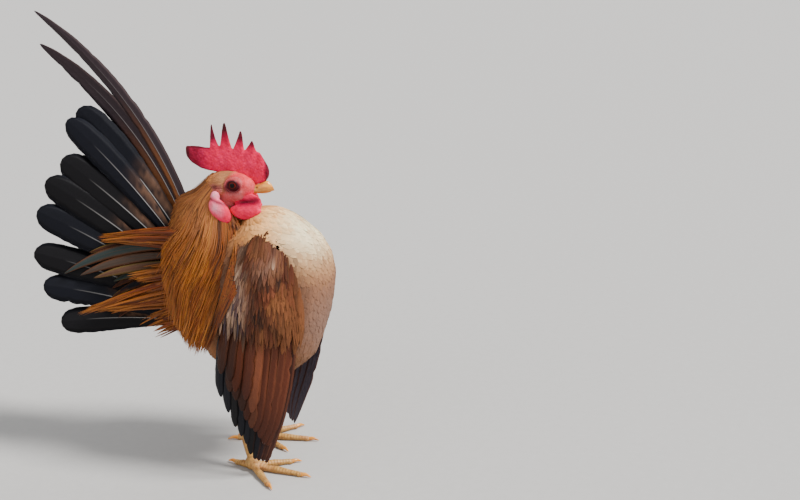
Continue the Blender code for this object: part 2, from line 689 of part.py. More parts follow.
def hackle_lock(sign, turn, root, tip, half_width, lift, trees, under):
    """A lock that starts in the neck, at an angle from the back, and hangs down over what lies under it."""
    way, side_way = Vector((-math.cos(turn), math.sin(turn) * sign, 0)), Vector((0, sign, 0))
    spine, outs = [], []
    for t in [stop[0] for stop in LOCK_STOPS] + [1]:
        height = mix(root, tip, t)
        core = level_point(at(NECK_RINGS, height), turn * sign, height)
        cape = level_point(at(CAPE_RINGS, height), turn * sign, height)
        place = core.lerp(cape, t**0.8) if t else core.lerp(mm(NECK_TOP[0], 0, height), 0.12)
        out = way
        if t > 0.2:
            raised = clear_out(place, side_way, Vector((half_width * MM, 0, 0)), trees, HACKLE_OVER)
            out = way.lerp(side_way, min(raised / HACKLE_TURN, 1)).normalized()
            clear_out(place, out, Vector((-out.y, out.x, 0)) * half_width * MM, under, lift)
        spine.append(place)
        outs.append(out + Vector((0, 0, 0.3)))
    widths = [share * half_width * MM for _, share in LOCK_STOPS]
    return vane("lock", spine, outs, widths, LOCK_THICK, sharp=True)


def make_neck(finish, body, others):
    """The neck and its hackle, in tiers of locks that hang over one another down to the shoulders."""
    draw = random.Random(HACKLE_SEED)
    pieces = [level_loft("neck", NECK_RINGS, NECK_BOTTOM, NECK_TOP, NECK_SIDES)]
    trees, under = [tree_of(other) for other in body], []
    for root, tip, rise, first, last, count, half_width in HACKLE_TIERS:
        tier = []
        for sign in SIDES.values():
            for i in range(count):
                turn = math.radians(mix(first, last, i / (count - 1)) + draw.uniform(-2, 2))
                end = tip + rise * max(math.cos(turn), 0) + draw.uniform(-2, 2)
                lift = HACKLE_LIFT + HACKLE_STEP * (i % 2)
                tier.append(hackle_lock(sign, turn, root, end, half_width, lift, trees, under))
        pieces += tier
        under += [tree_of(lock) for lock in tier]
    return node("neck", pieces, finish, clear_of=[*body, *others])


def leg_place(table, side):
    x, out, z = table[side]
    return mm(x, out * SIDES[side], z)


def make_thigh(side, finish, neighbours):
    top, low = leg_place(THIGH_TOP, side), leg_place(HOCK, side)
    path = [top.lerp(low, t) for t, _ in THIGH_STOPS]
    radii = [radius for _, radius in THIGH_STOPS]
    return node(f"thigh_{side}", [rod("thigh", path, radii, 10)], finish, clear_of=neighbours)


def make_shank(side, finish, neighbours):
    hock, foot = leg_place(HOCK, side), leg_place(FOOT, side)
    path = [hock.lerp(foot, t) for t, _ in SHANK_STOPS]
    radii = [radius for _, radius in SHANK_STOPS]
    return node(f"shank_{side}", [rod("shank", path, radii, 8)], finish, clear_of=neighbours)


def make_spur(side, finish, neighbours):
    start = leg_place(HOCK, side).lerp(leg_place(FOOT, side), SPUR_AT)
    path = [start + mm(x, y * SIDES[side], z) for x, y, z, _ in SPUR_STOPS]
    radii = [stop[-1] for stop in SPUR_STOPS]
    return node(f"spur_{side}", [rod("spur", path, radii, 6)], finish, clear_of=neighbours)


def toe_line(side, toe):
    """A toe's path from the foot's pad to where its claw starts, and the way it points."""
    dx, dy, length = TOES[toe]
    start = mm(FOOT[side][0], FOOT[side][1] * SIDES[side], 0)
    heading = Vector((dx, dy * SIDES[side], 0)).normalized()
    path = [start + heading * length * MM * t + mm(0, 0, height) for t, height in TOE_HEIGHTS]
    return path, heading


def make_foot(side, finish, neighbours):
    """The foot's pad and four toes, with small flats under them at the floor's level."""
    x, y = FOOT[side][:2]
    pieces = [side_egg("pad", (x, y, *PAD), side)]
    pieces += [rod("toe", toe_line(side, toe)[0], TOE_RADII, 6) for toe in TOES]
    made = pieces[0]
    boolean(made, pieces[1:], "UNION")
    boolean(made, [block("floor", (-90, -90, -20), (90, 90, 0))], "DIFFERENCE")
    return node(f"foot_{side}", [made], finish, clear_of=neighbours)


def make_claw(side, toe, finish, neighbours):
    path, heading = toe_line(side, toe)
    points = [path[-1] + heading * ahead * MM + mm(0, 0, up) for ahead, up, _ in CLAW_STOPS]
    radii = [radius for _, _, radius in CLAW_STOPS]
    return node(f"claw_{side}_{toe}", [rod("claw", points, radii, 5)], finish, clear_of=neighbours)


def rest_on_floor(nodes):
    """Centres the bird over the origin, with its lowest point at height 0."""
    corners = [vert.co for obj in nodes for vert in obj.data.vertices]
    low = Vector([min(c[i] for c in corners) for i in range(3)])
    high = Vector([max(c[i] for c in corners) for i in range(3)])
    shift = Vector((-(low.x + high.x) / 2, -(low.y + high.y) / 2, -low.z))
    for obj in nodes:
        obj.data.transform(Matrix.Translation(shift))


def main():
    for obj in list(bpy.data.objects):
        bpy.data.objects.remove(obj)
    comb_skin = material("comb_skin", (0.62, 0.03, 0.06), 0.5)
    face_skin = material("face_skin", (0.55, 0.16, 0.12), 0.6)
    lobe_skin = material("lobe_skin", (0.8, 0.3, 0.35), 0.45)
    beak_horn = material("beak_horn", (0.75, 0.5, 0.16), 0.45)
    leg_scales = material("leg_scales", (0.68, 0.44, 0.16), 0.55)
    claw_horn = material("claw_horn", (0.6, 0.5, 0.36), 0.45)
    eye_surface = material("eye_surface", (0.05, 0.015, 0.008), 0.1)
    cream = material("breast_feather", (0.76, 0.55, 0.33), 0.8)
    gold = material("hackle_feather", (0.55, 0.26, 0.06), 0.7)
    bay = material("wing_feather", (0.34, 0.14, 0.05), 0.7)
    black = material("tail_feather", (0.03, 0.025, 0.03), 0.5)

    torso = make_torso(cream)
    eyes = [make_eye(side, eye_surface) for side in SIDES]
    head = make_head(eyes, face_skin)
    upper = make_beak("upper", beak_horn, [head])
    lower = make_beak("lower", beak_horn, [head, upper])
    face = [head, upper, lower, make_comb(comb_skin, [head, upper])]
    for side in SIDES:
        lobe = make_lobe(side, lobe_skin, [head, torso])
        face += [lobe, make_wattle(side, comb_skin, [head, lower, torso, lobe])]
    wings = [make_wing(side, bay, [torso]) for side in SIDES]
    legs = []
    for side in SIDES:
        thigh = make_thigh(side, cream, [torso, *wings])
        shank = make_shank(side, leg_scales, [thigh])
        foot = make_foot(side, leg_scales, [shank])
        legs += [thigh, shank, foot, make_spur(side, claw_horn, [shank])]
        legs += [make_claw(side, toe, claw_horn, [foot]) for toe in TOES]
    tails = []
    for side in SIDES:
        tails.append(make_tail(side, black, [torso, *tails]))
    for side in SIDES:
        tails.append(make_sickle(side, black, [torso, *tails]))
    saddles = [make_saddle(side, gold, [torso, *wings, *tails]) for side in SIDES]
    neck = make_neck(gold, [torso, *wings, *tails, *saddles], face)
    rest_on_floor([torso, *eyes, *face, *wings, *legs, *tails, *saddles, neck])


main()
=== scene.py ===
"""A serama cock at life size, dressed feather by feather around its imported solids.

Places are worked out in millimetres, from a point on the floor between the feet: +X is the way the bird
faces, +Y its left and +Z up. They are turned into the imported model's frame when a mesh is made.
"""

import functools
import math

import bpy
import numpy as np
from bpy.props import FloatProperty, FloatVectorProperty, IntProperty, PointerProperty
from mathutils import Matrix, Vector
from mathutils.bvhtree import BVHTree


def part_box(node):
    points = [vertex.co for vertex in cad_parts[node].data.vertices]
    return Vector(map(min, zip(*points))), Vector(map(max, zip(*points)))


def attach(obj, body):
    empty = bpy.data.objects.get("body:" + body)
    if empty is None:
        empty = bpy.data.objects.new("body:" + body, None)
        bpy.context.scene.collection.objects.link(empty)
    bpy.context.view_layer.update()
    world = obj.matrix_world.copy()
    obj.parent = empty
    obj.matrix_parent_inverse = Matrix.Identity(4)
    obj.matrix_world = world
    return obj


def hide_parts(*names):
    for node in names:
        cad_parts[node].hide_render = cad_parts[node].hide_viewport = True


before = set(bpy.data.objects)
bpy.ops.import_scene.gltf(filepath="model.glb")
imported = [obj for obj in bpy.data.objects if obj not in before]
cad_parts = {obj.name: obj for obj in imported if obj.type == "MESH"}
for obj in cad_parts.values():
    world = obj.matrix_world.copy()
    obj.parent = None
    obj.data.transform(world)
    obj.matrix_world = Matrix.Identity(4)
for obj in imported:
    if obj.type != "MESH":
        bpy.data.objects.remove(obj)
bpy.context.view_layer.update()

bl_info = {
    "name": "Serama cock",
    "version": (1, 0, 0),
    "blender": (4, 5, 0),
    "location": "3D View > Sidebar > Serama",
    "description": "Dresses the packed solids of a serama cock with skin, feathers, comb and scales",
    "category": "Object",
}

MM = 0.001
SIDES = {"right": -1, "left": 1}
MADE, MATERIALS, PALETTE = {}, {}, {}

# The eyes give the step from this file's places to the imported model's frame.
EYE = np.array((-14.3, 7.3, 175.2))
EYE_RADIUS = 4.3
EYE_BOX = [np.array(corner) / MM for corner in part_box("eye_right")]
STEP = (EYE_BOX[0] + EYE_BOX[1]) / 2 - EYE * (1, -1, 1)

# Level rings, from the floor up: height, back, front and half width.
TORSO = np.array((
    (54, -15, 10, 11), (61, -26, 22, 20), (70, -35, 33, 28), (81, -43, 38, 33.5), (94, -48, 42.3, 36.5),
    (107, -49, 45, 37.6), (120, -45, 46.3, 37), (132, -37, 44.2, 34.5), (143, -27, 38, 29.5),
    (152, -13, 28.8, 20.5), (158, -9, 21.5, 13), (161.8, -5, 13.5, 8),
))
NECK = np.array((
    (120, -44, 8, 24), (130, -46, 4, 23.5), (139, -46.5, -1, 21), (148, -46, -8, 17),
    (157, -45, -12.5, 13), (165, -42, -14, 10), (172, -37.5, -14, 8.5), (180, -31, -16, 6),
))
CAPE = np.array((
    (80, -44, -16, 42), (100, -53, -10, 43), (120, -60, -6, 42), (138, -61, -2, 35), (150, -57, -6, 24),
    (156, -56, -9, 18), (162, -54.5, -11, 14), (166, -51, -13, 12), (169, -44.5, -14, 10.5),
    (172, -41, -14.5, 9.5), (180, -34, -16, 8),
))
# Upright rings along the head: place, height of the middle, half height and half width.
HEAD = np.array((
    (-37, 170.5, 3, 3), (-35, 171, 5.4, 5.4), (-31, 171.3, 8.6, 8), (-24, 172, 10.2, 10),
    (-16, 172.2, 10.2, 10.4), (-10, 172, 8.9, 9), (-5.5, 172.2, 6.4, 6.6), (-3, 172.3, 4, 4.4),
))
# Level lines down the hanging wing: height, back edge, front edge and how far out its middle hangs.
WING = np.array((
    (151, 7, 11, 25.5), (147.5, 3, 15, 27.5), (142, -4, 21.5, 32.5), (135, -6, 27.5, 36.5),
    (127, -7.5, 32, 39.5), (117, -9, 36, 41.5), (100, -13, 37, 42.6), (81, -17, 35, 42.8), (60, -19, 31, 42),
    (40, -17, 25, 40.8), (25, -14, 19, 39.6), (8, -9, 13, 38.5),
))[::-1]
WING_BACK = {"right": 0, "left": 4}
# How far the wing's edges curve in, and how much each feather's rear edge is turned out.
WING_CAMBER_BACK, WING_CAMBER_FRONT = 4.0, 9.0
WING_LOUVRE = 0.15

# The tail's feathers from the top: root place and height, lean from level, length and half width.
TAIL_FEATHERS = (
    (-49, 135.3, 121.9, 105.2, 9.8), (-49.5, 129.5, 124.0, 108.0, 8.6), (-50, 121, 130.7, 99.1, 10.2),
    (-50, 111, 135.1, 104.6, 10.0), (-50, 102.7, 141.1, 103.4, 9.8), (-50, 96.5, 151.7, 97.3, 9.4),
    (-50, 89.5, 158.3, 88.2, 9.0), (-50, 87.5, 172.5, 75.4, 8.4),
)
SICKLES = {"right": ((-38, 1.5, 118), 100, 193, 4.6), "left": ((-41, 1.5, 116), 103.5, 177, 6.4)}
HOCK = {"right": (-14, 21, 43), "left": (-27, 20, 43)}
FOOT = {"right": (-1, 24, 6.5), "left": (-14, 24, 6.5)}
THIGH_TOP = {"right": (-2, 20, 72), "left": (-10, 20, 72)}
TOES = {"inner": (19, -13, 25), "middle": (34, 4, 33), "outer": (19, 24, 29), "back": (-15, -6, 14)}

# The comb's outline along the head: its foot, its top with the points, and its top without them.
COMB_FOOT = np.array((
    (-47.6, 193.8), (-47.0, 190.6), (-46.3, 188.8), (-43.9, 186.1), (-38.1, 182.8), (-33.8, 181.7),
    (-27.1, 180.8), (-12, 177), (-2.1, 174.6), (3.2, 176.2), (5.1, 179), (5.9, 182.2),
))
COMB_TOP = np.array((
    (-47.6, 194.2), (-47.0, 196.0), (-42.9, 196.3), (-39.1, 196.3), (-34.3, 195.7), (-31.7, 195.6),
    (-31.4, 201), (-31.1, 208.2), (-30.6, 210.0), (-30.0, 209.8), (-29.3, 206), (-28.0, 201), (-26.3, 196.8),
    (-25.4, 197.0), (-24.4, 202), (-23.3, 209.6), (-22.6, 211.1), (-21.8, 211.1), (-21.0, 209),
    (-19.6, 202.6), (-18.0, 196.2), (-17.0, 195.4), (-15.4, 198.6), (-13.6, 203), (-12.5, 206.1),
    (-11.8, 206.8), (-11.1, 206), (-10.6, 202), (-10.1, 196.4), (-9.6, 194.9), (-8.6, 196), (-6.6, 198.7),
    (-5.5, 200.6), (-4.8, 201), (-4.2, 200.2), (-3.3, 197.4), (-2.3, 194.9), (-1.2, 194.3), (0.1, 194.0),
    (2.7, 189.7), (4.7, 186.3), (5.9, 182.6),
))
COMB_VALLEY = np.array(((-48, 196), (-31, 195.6), (-18, 195), (-10, 194), (0, 193.6), (2.7, 189.7), (6, 182)))

# Half widths along a feather as shares of its widest: place along it and share.
VANE_WIDTHS = ((0, 0.35), (0.1, 0.62), (0.35, 0.95), (0.7, 1), (0.88, 0.85), (0.96, 0.55), (0.99, 0.3))
COVERT_WIDTHS = ((0, 0.4), (0.2, 0.8), (0.5, 1), (0.75, 0.85), (0.9, 0.5), (0.99, 0.16))
FAN_WIDTHS = (
    (0, 0.3), (0.12, 0.45), (0.32, 0.7), (0.55, 0.9), (0.72, 1), (0.88, 0.95), (0.94, 0.82), (0.975, 0.6),
    (0.992, 0.34),
)
SICKLE_WIDTHS = (
    (0, 0.4), (0.12, 0.6), (0.26, 0.85), (0.42, 1), (0.58, 1), (0.72, 0.9), (0.85, 0.7), (0.95, 0.38),
    (0.99, 0.16),
)

# The wing's tiers: name, count, shares of the first and last, root, tip, rise, power, half width, how far out
# at root and tip, widths, and the number of steps along the feather.
WING_TIERS = (
    ("primaries", 10, 0.80, -0.86, 106, 9, 42, 2.2, 3.9, -0.3, -1.2, VANE_WIDTHS, 26),
    ("secondaries", 9, 0.70, -0.56, 106, 22, 34, 1.5, 4.3, 0.5, 0.9, VANE_WIDTHS, 26),
    ("tertials", 5, 0.10, -0.80, 112, 46, 22, 1, 4.2, 0.9, 2.0, VANE_WIDTHS, 20),
    ("greater_coverts", 15, 0.88, -0.88, 116, 85, 13, 1, 2.9, 0.8, 2.4, COVERT_WIDTHS, 14),
    ("median_coverts", 16, 0.84, -0.88, 126, 96, 11, 1, 2.8, 0.8, 3.0, COVERT_WIDTHS, 12),
)

# Dark and pale places on the wing's shoulder: colour, place ahead and up, half sizes and strength.
WING_PATCHES = (
    ("black", 12, 110, 7, 6, 0.9), ("black", 0, 96, 7, 6, 0.9), ("black", 7, 147, 3, 3, 0.8),
    ("black", -1.5, 142.5, 2.5, 2.5, 0.7), ("umber", 18, 142, 3, 2, 0.7), ("umber", 4, 128, 6, 8, 0.4),
    ("rose", 14, 136, 7, 6, 0.5), ("rose", 2, 117, 5, 7, 0.5), ("flank", 22, 112, 5, 6, 0.3),
    ("umber", 27, 131, 2.5, 7, 0.6), ("cream", -3, 134, 3, 8, 0.4), ("black", 23, 129, 2.2, 3, 0.85),
)

# The saddle's wisps: share of the locks, lowest and highest root, where those two end, and how far out to
# the side the wisp ends.
SADDLE_WISPS = (
    (0.26, (136, 149), (-97, 138), (-100, 140), 17), (0.14, (117, 128), (-72, 115), (-79, 120), 24),
    (0.40, (101, 121), (-100, 96), (-107, 96), 32), (0.20, (88, 104), (-56, 84), (-68, 93), 30),
)

# A lock of the hackle or saddle: the places of its rings along it, and their half widths as shares.
LOCK_STOPS = np.array((0, 0.15, 0.34, 0.54, 0.74, 0.9, 0.97, 1))
LOCK_WIDTHS = np.array((0.6, 0.9, 1, 0.95, 0.75, 0.42, 0.18))

# Cross sections of a feather: place across, how far out for the vane's thickness and for the shaft's.
LOCK_SECTION = np.array(((-1, 0, 0), (0, 1, 0), (1, 0, 0), (0, -0.6, 0)))
VANE_SECTION = np.array((
    (-1, 0, 0), (-0.6, 0.6, 0), (-0.25, 0.9, 0), (-0.07, 1, 0.2), (0, 1, 1), (0.07, 1, 0.2), (0.25, 0.9, 0),
    (0.6, 0.6, 0), (1, 0, 0), (0.6, -0.6, 0), (0.25, -0.9, 0), (0.07, -1, -0.3), (0, -1, -1),
    (-0.07, -1, -0.3), (-0.25, -0.9, 0), (-0.6, -0.6, 0),
))

# sRGB values for the photograph's colours. The render's tone curve dulls them, so they are stronger.
COLOURS = {
    # pale paints the highlight on the front of the breast, not a colour of its feathers.
    "breast": ("#FFBC74", "the upper breast"), "pale": ("#FFF6CC", "the front of the breast"),
    "rose": ("#8A6C5E", "the lower breast"), "flank": ("#8E5832", "the flanks"),
    # The breast beside the wing is darkened with a painted shade colour.
    "shade": ("#7A5636", "the belly"), "smoke": ("#5E463A", "the breast beside the wing"),
    "down": ("#7A6048", "the fluff under the tail"), "gold": ("#A85C18", "the hackle's gold"),
    "buff": ("#C07628", "the hackle's pale locks"), "russet": ("#74300A", "the hackle's deep locks"),
    "ember": ("#8A3E0C", "the hackle's red locks"), "crown": ("#B0744C", "the crown"),
    "bay": ("#5A2A18", "the wing's dark red"), "bay_light": ("#80462C", "the wing's pale red"),
    "umber": ("#38190A", "dark brown feathers"), "black": ("#0B090C", "black feathers"),
    "cream": ("#C8A488", "the wing's pale feathers"), "slate": ("#4A4450", "the wing's inner side"),
    "sheen": ("#0B0C15", "blue-black feathers"), "web": ("#6E3E20", "brown webs of the tail"),
    "green": ("#2A3432", "the tail's small sickles"), "fringe": ("#76602E", "edges of the small sickles"),
    "face": ("#E05258", "the face"), "face_pale": ("#FF5058", "the skin over the eye"),
    "cheek": ("#D67474", "the cheek"), "comb": ("#F80A54", "the comb"),
    "comb_pale": ("#FF2264", "the comb's raised parts"), "maroon": ("#48061A", "dark red skin"),
    "wattle": ("#FF1656", "the wattles"), "lobe": ("#FF88A0", "the lobes"), "ivory": ("#F4A43A", "pale horn"),
    "amber": ("#B87420", "amber horn"), "leg": ("#C89850", "the legs"),
    "leg_deep": ("#80501C", "the legs' grooves"), "leg_pink": ("#C88460", "the legs' pink parts"),
}


def linear(hex_colour):
    """A linear colour from an sRGB hex value."""
    parts = [int(hex_colour[i : i + 2], 16) / 255 for i in (1, 3, 5)]
    return np.array([c / 12.92 if c <= 0.04045 else ((c + 0.055) / 1.055) ** 2.4 for c in parts])


def unit(v):
    return v / np.maximum(np.linalg.norm(v, axis=-1, keepdims=True), 1e-9)


def smooth(value, low, high):
    t = np.clip((value - low) / (high - low), 0, 1)
    return t * t * (3 - 2 * t)


def mix(a, b, t):
    return a + (b - a) * t


def blend(a, b, share):
    """Mixes colours, places or ways by a share for each of them."""
    return a + (b - a) * np.asarray(share)[..., None]


def read(table, height):
    """The table's other columns at a height, which may be an array."""
    return [np.interp(height, table[:, 0], column) for column in table.T[1:]]


def oval(table, height, turn, fullness=0.88):
    """A place on a table's level oval; turn is 0 behind and pi in front."""
    back, front, wide = read(table, height)
    c, s = np.cos(turn), np.sin(turn)
    x = (back + front) / 2 - (front - back) / 2 * np.sign(c) * np.abs(c) ** fullness
    y = wide * np.sign(s) * np.abs(s) ** fullness
    return np.stack(np.broadcast_arrays(x, y, height), axis=-1)


def finish(obj, name, material, nodes=()):
    """Names a piece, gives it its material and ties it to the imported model."""
    obj.name = name
    obj.data.name = name
    obj.data.materials.clear()
    obj.data.materials.append(material)
    obj.data.shade_smooth()
    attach(obj, "root")
    if nodes:
        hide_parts(*nodes)
    return obj


def new_mesh(name, points, quads, triangles):
    """A mesh object from arrays of places in millimetres, four-sided faces and triangles."""
    mesh = bpy.data.meshes.new(name)
    mesh.vertices.add(len(points))
    mesh.vertices.foreach_set("co", ((points + STEP) * MM).astype(np.float32).ravel())
    corners = np.concatenate([quads.ravel(), triangles.ravel()]).astype(np.int32)
    starts = np.concatenate([np.arange(len(quads)) * 4, len(quads) * 4 + np.arange(len(triangles)) * 3])
    mesh.loops.add(len(corners))
    mesh.loops.foreach_set("vertex_index", corners)
    mesh.polygons.add(len(starts))
    mesh.polygons.foreach_set("loop_start", starts.astype(np.int32))
    mesh.update(calc_edges=True)
    obj = bpy.data.objects.new(name, mesh)
    bpy.context.scene.collection.objects.link(obj)
    return obj


def give(obj, name, values):
    """Stores one number or colour for each point of a mesh."""
    values = np.asarray(values, np.float32)
    if values.ndim == 1:
        obj.data.attributes.new(name, "FLOAT", "POINT").data.foreach_set("value", values)
    else:
        colours = np.concatenate([values, np.ones((len(values), 1), np.float32)], axis=1)
        obj.data.attributes.new(name, "FLOAT_COLOR", "POINT").data.foreach_set("color", colours.ravel())


def give_uv(obj, name, uv):
    """Stores a UV map from one place for each point."""
    corners = np.zeros(len(obj.data.loops), np.int32)
    obj.data.loops.foreach_get("vertex_index", corners)
    layer = obj.data.uv_layers.new(name=name)
    layer.uv.foreach_set("vector", np.asarray(uv, np.float32)[corners].ravel())


def tube_faces(rings, count, first=0):
    """Four-sided faces between rings of points, and triangles to an end point before and after them.

    The points are numbered start, rings and end.
    """
    ring = first + 1 + np.arange(rings * count).reshape(rings, count)
    turned = np.roll(ring, -1, axis=1)
    quads = np.stack([ring[:-1], turned[:-1], turned[1:], ring[1:]], axis=-1).reshape(-1, 4)
    start, end = first, first + 1 + rings * count
    tops = [np.stack([np.full(count, start), turned[0], ring[0]], axis=-1)]
    tops.append(np.stack([np.full(count, end), ring[-1], turned[-1]], axis=-1))
    return quads, np.concatenate(tops)


def feathers(
    name, section, spines, outs, left, right, thick, tints, roots_uv, camber=0.0, shaft=0.0, guide=None,
    guide_share=0.0
):
    """Joins many feathers in one mesh.

    spines has one more place than outs and the widths, for the tip. tints is a function of the places
    along and across.
    """
    n, k = left.shape
    m = len(section)
    ahead = unit(np.concatenate([spines[:, 1:2] - spines[:, :1], spines[:, 2:] - spines[:, :-2]], axis=1))
    out = unit(outs - ahead * np.sum(outs * ahead, axis=-1, keepdims=True))
    side = np.cross(ahead, out)
    a, rise, ridge = section.T
    wide = np.where(a[None, None] < 0, left[..., None], right[..., None])
    thick = np.broadcast_to(thick, (n, k))[..., None]
    shaft = np.broadcast_to(shaft, (n, k))[..., None]
    high = thick * rise + shaft * ridge - camber * a * a * wide
    sideways = side[:, :, None] * (a * wide)[..., None]
    rings = spines[:, :-1, None] + sideways + out[:, :, None] * high[..., None]
    start = spines[:, :1] - ahead[:, :1] * left[:, :1, None] * 0.5
    points = np.concatenate([start, rings.reshape(n, k * m, 3), spines[:, -1:]], axis=1)
    quads, triangles = tube_faces(k, m)
    size = k * m + 2
    step = (np.arange(n) * size)[:, None, None]
    obj = new_mesh(name, points.reshape(-1, 3), (quads + step).reshape(-1, 4),
                   (triangles + step).reshape(-1, 3))
    reach = np.cumsum(np.linalg.norm(np.diff(spines, axis=1), axis=-1), axis=1)
    reach = np.concatenate([np.zeros((n, 1)), reach], axis=1)
    along = reach / reach[:, -1:]

    def each(rings_value, ends):
        first, last = ends
        return np.concatenate([first, rings_value.reshape(n, k * m), last], axis=1).ravel()

    nothing = np.zeros((n, 1))
    spread = np.repeat(along[:, :-1, None], m, axis=2)
    across = np.broadcast_to(a, (n, k, m))
    give(obj, "along", each(spread, (nothing, nothing + 1)))
    give(obj, "across", each(across, (nothing, nothing)))
    miles = np.repeat(reach[:, :-1, None], m, axis=2)
    give(obj, "reach", each(miles, (nothing, reach[:, -1:])))
    give(obj, "span", each(a * wide, (nothing, nothing)))
    give(obj, "chance", np.repeat(np.random.default_rng(len(name)).random(n), size))
    under = np.broadcast_to(rise < 0, (n, k, m))
    colours = tints(spread, across, under)
    ends = [colours[:, :1, :1].reshape(n, 1, 3), colours[:, -1:, m // 4 : m // 4 + 1].reshape(n, 1, 3)]
    give(obj, "Tint", np.concatenate([ends[0], colours.reshape(n, k * m, 3), ends[1]], axis=1).reshape(-1, 3))
    patch = np.stack([each(across, (nothing, nothing)), each(spread, (nothing, nothing + 1)) * 2 - 1],
                     axis=-1)
    give_uv(obj, "OFBake", np.repeat(roots_uv, size, axis=0) + patch * 0.0015)
    if guide is not None:
        rows = np.repeat(guide, m, axis=1)
        rows = np.concatenate([rows[:, :1], rows, rows[:, -1:]], axis=1).reshape(-1, 3)
        own = np.zeros(len(rows) * 3, np.float32)
        obj.data.vertices.foreach_get("normal", own)
        soft = unit(blend(own.reshape(-1, 3), unit(rows), guide_share))
        obj.data.normals_split_custom_set_from_vertices(soft.tolist())
    return obj


def skin_uv(places, part):
    """Where places lie on the skin's unwrap: the body round its axis, each side part in its strip.

    part is body, or a wing or tail with its side.
    """
    if part == "body":
        turn = np.arctan2(places[:, 1], places[:, 0] + 8) / (2 * math.pi) + 0.5
        return np.stack([0.02 + 0.66 * turn, 0.02 + 0.96 * np.clip(places[:, 2] / 200, 0, 1)], axis=-1)
    strips = ["wing_right", "wing_left", "tail_right", "tail_left"]
    left = 0.70 + 0.075 * strips.index(part)
    if part.startswith("wing"):
        flat = np.stack([(places[:, 0] + 25) / 70, places[:, 2] / 160], axis=-1)
    else:
        flat = np.stack([(places[:, 2] - 80) / 200, (places[:, 0] + 150) / 125], axis=-1)
    return np.array((left, 0.02)) + np.clip(flat, 0, 1) * (0.07, 0.96)


# Materials


def add(tree, kind, *values, out=0, named=None, **settings):
    """Adds a shader node with its settings and gives one of its outputs.

    The values go to the open inputs in order, and named ones by name. Sockets are linked.
    """
    made = tree.nodes.new("ShaderNode" + kind)
    for key, value in settings.items():
        setattr(made, key, value)
    pairs = list(zip([socket for socket in made.inputs if socket.enabled], values))
    pairs += [(made.inputs[key], value) for key, value in (named or {}).items()]
    for socket, value in pairs:
        if isinstance(value, bpy.types.NodeSocket):
            tree.links.new(value, socket)
        elif value is not None:
            socket.default_value = value
    return [socket for socket in made.outputs if socket.enabled][out]


def start_material(name, **constants):
    """A material, the call that adds its nodes, and its shader with constants on the shader's own sockets."""
    made = bpy.data.materials.new(name)
    made.use_nodes = True
    shader = made.node_tree.nodes["Principled BSDF"]
    for key, value in constants.items():
        shader.inputs[key.replace("_", " ")].default_value = value
    return made, functools.partial(add, made.node_tree), shader


def paint(made, shader, colour, height, strength, distance_mm):
    """Links a material's colour, and its relief as a bump."""
    made.node_tree.links.new(colour, shader.inputs["Base Color"])
    relief = {"Strength": strength, "Distance": distance_mm * MM, "Height": height}
    made.node_tree.links.new(add(made.node_tree, "Bump", named=relief), shader.inputs["Normal"])
    return made


def colour4(hex_colour):
    return (*linear(hex_colour), 1)


def feather_material(name, barb_mm, contrast, shaft, shaft_share, roughness=0.55, gloss=None, shine=0.25):
    """Feather keratin, as grown: barbs slant off a pale shaft and catch the light along their length.

    Real barbs stand 0.2 to 0.4 mm apart. They are drawn barb_mm apart, so that they still show.
    """
    made, n, shader = start_material(name, Roughness=roughness, Specular_IOR_Level=shine)
    tint = n("Attribute", attribute_name="Tint")
    reach, span, across, along, chance = (
        n("Attribute", attribute_name=name, out=2) for name in ("reach", "span", "across", "along", "chance")
    )
    aside = n("Math", span, operation="ABSOLUTE")
    slant = n("Math", aside, -1.1, reach, operation="MULTIPLY_ADD")
    wave = n("Math", n("Math", slant, 2 * math.pi / barb_mm, operation="MULTIPLY"), operation="SINE")
    place = n("CombineXYZ", n("Math", slant, 0.7 / barb_mm, operation="MULTIPLY"),
              n("Math", span, 0.3, operation="MULTIPLY"))
    seed = n("Math", chance, 40.0, operation="MULTIPLY")
    noise = n("TexNoise", place, seed, 1.0, 2.0, noise_dimensions="4D")
    strands = n("Math", wave, 0.35, noise, operation="MULTIPLY_ADD")
    dark = n("MapRange", strands, 0.15, 0.85, 1 - contrast, 1 + 0.3 * contrast)
    shaded = n("VectorMath", tint, named={"Scale": dark}, operation="SCALE")
    line = n("MapRange", n("Math", across, operation="ABSOLUTE"), shaft_share * 0.4, shaft_share, 1.0, 0.0)
    fade = n("MapRange", along, 0.1, 0.8, 0.95, 0.0)
    line = n("Math", line, fade, operation="MULTIPLY")
    colour = n("Mix", line, shaded, colour4(shaft), data_type="RGBA")
    # A painted sheen: towards grazing angles the colour turns to the gloss colour.
    if gloss:
        facing = n("MapRange", n("LayerWeight", 0.4, out=1), 0.25, 0.9, 0.0, 0.5)
        colour = n("Mix", facing, colour, colour4(gloss), data_type="RGBA")
    return paint(made, shader, colour, strands, 0.35, 0.3)


def flesh_material(name, deep, grain_mm, roughness, relief_mm, scatter=0.3, blotch_mm=4.0):
    """Bare skin full of blood: moist, mottled, and grained with small round papillae."""
    made, n, shader = start_material(
        name, Roughness=roughness, Subsurface_Weight=scatter, Subsurface_Scale=0.0008,
        Specular_IOR_Level=0.16,
    )
    shader.inputs["Subsurface Radius"].default_value = (1.0, 0.25, 0.18)
    place = n("TexCoord", out=3)
    tint = n("Attribute", attribute_name="Tint")
    blotch = n("TexNoise", place, 1 / (blotch_mm * MM), 4.0)
    share = n("MapRange", blotch, 0.4, 0.7, 0.0, 0.4)
    deeper = n("Mix", 1.0, tint, colour4(deep), data_type="RGBA", blend_type="MULTIPLY")
    colour = n("Mix", share, tint, deeper, data_type="RGBA")
    grain = n("TexVoronoi", place, 1 / (grain_mm * MM), feature="SMOOTH_F1")
    # The colour darkens in the hollows between papillae as painted shade.
    hollow = n("MapRange", grain, 0.3, 0.9, 0.0, 0.35)
    colour = n("Mix", hollow, colour, deeper, data_type="RGBA")
    fine = n("TexNoise", place, 1 / (grain_mm * 0.5 * MM), 3.0)
    height = n("Math", fine, 0.4, n("Math", 1.0, grain, operation="SUBTRACT"), operation="MULTIPLY_ADD")
    return paint(made, shader, colour, height, 0.6, relief_mm)


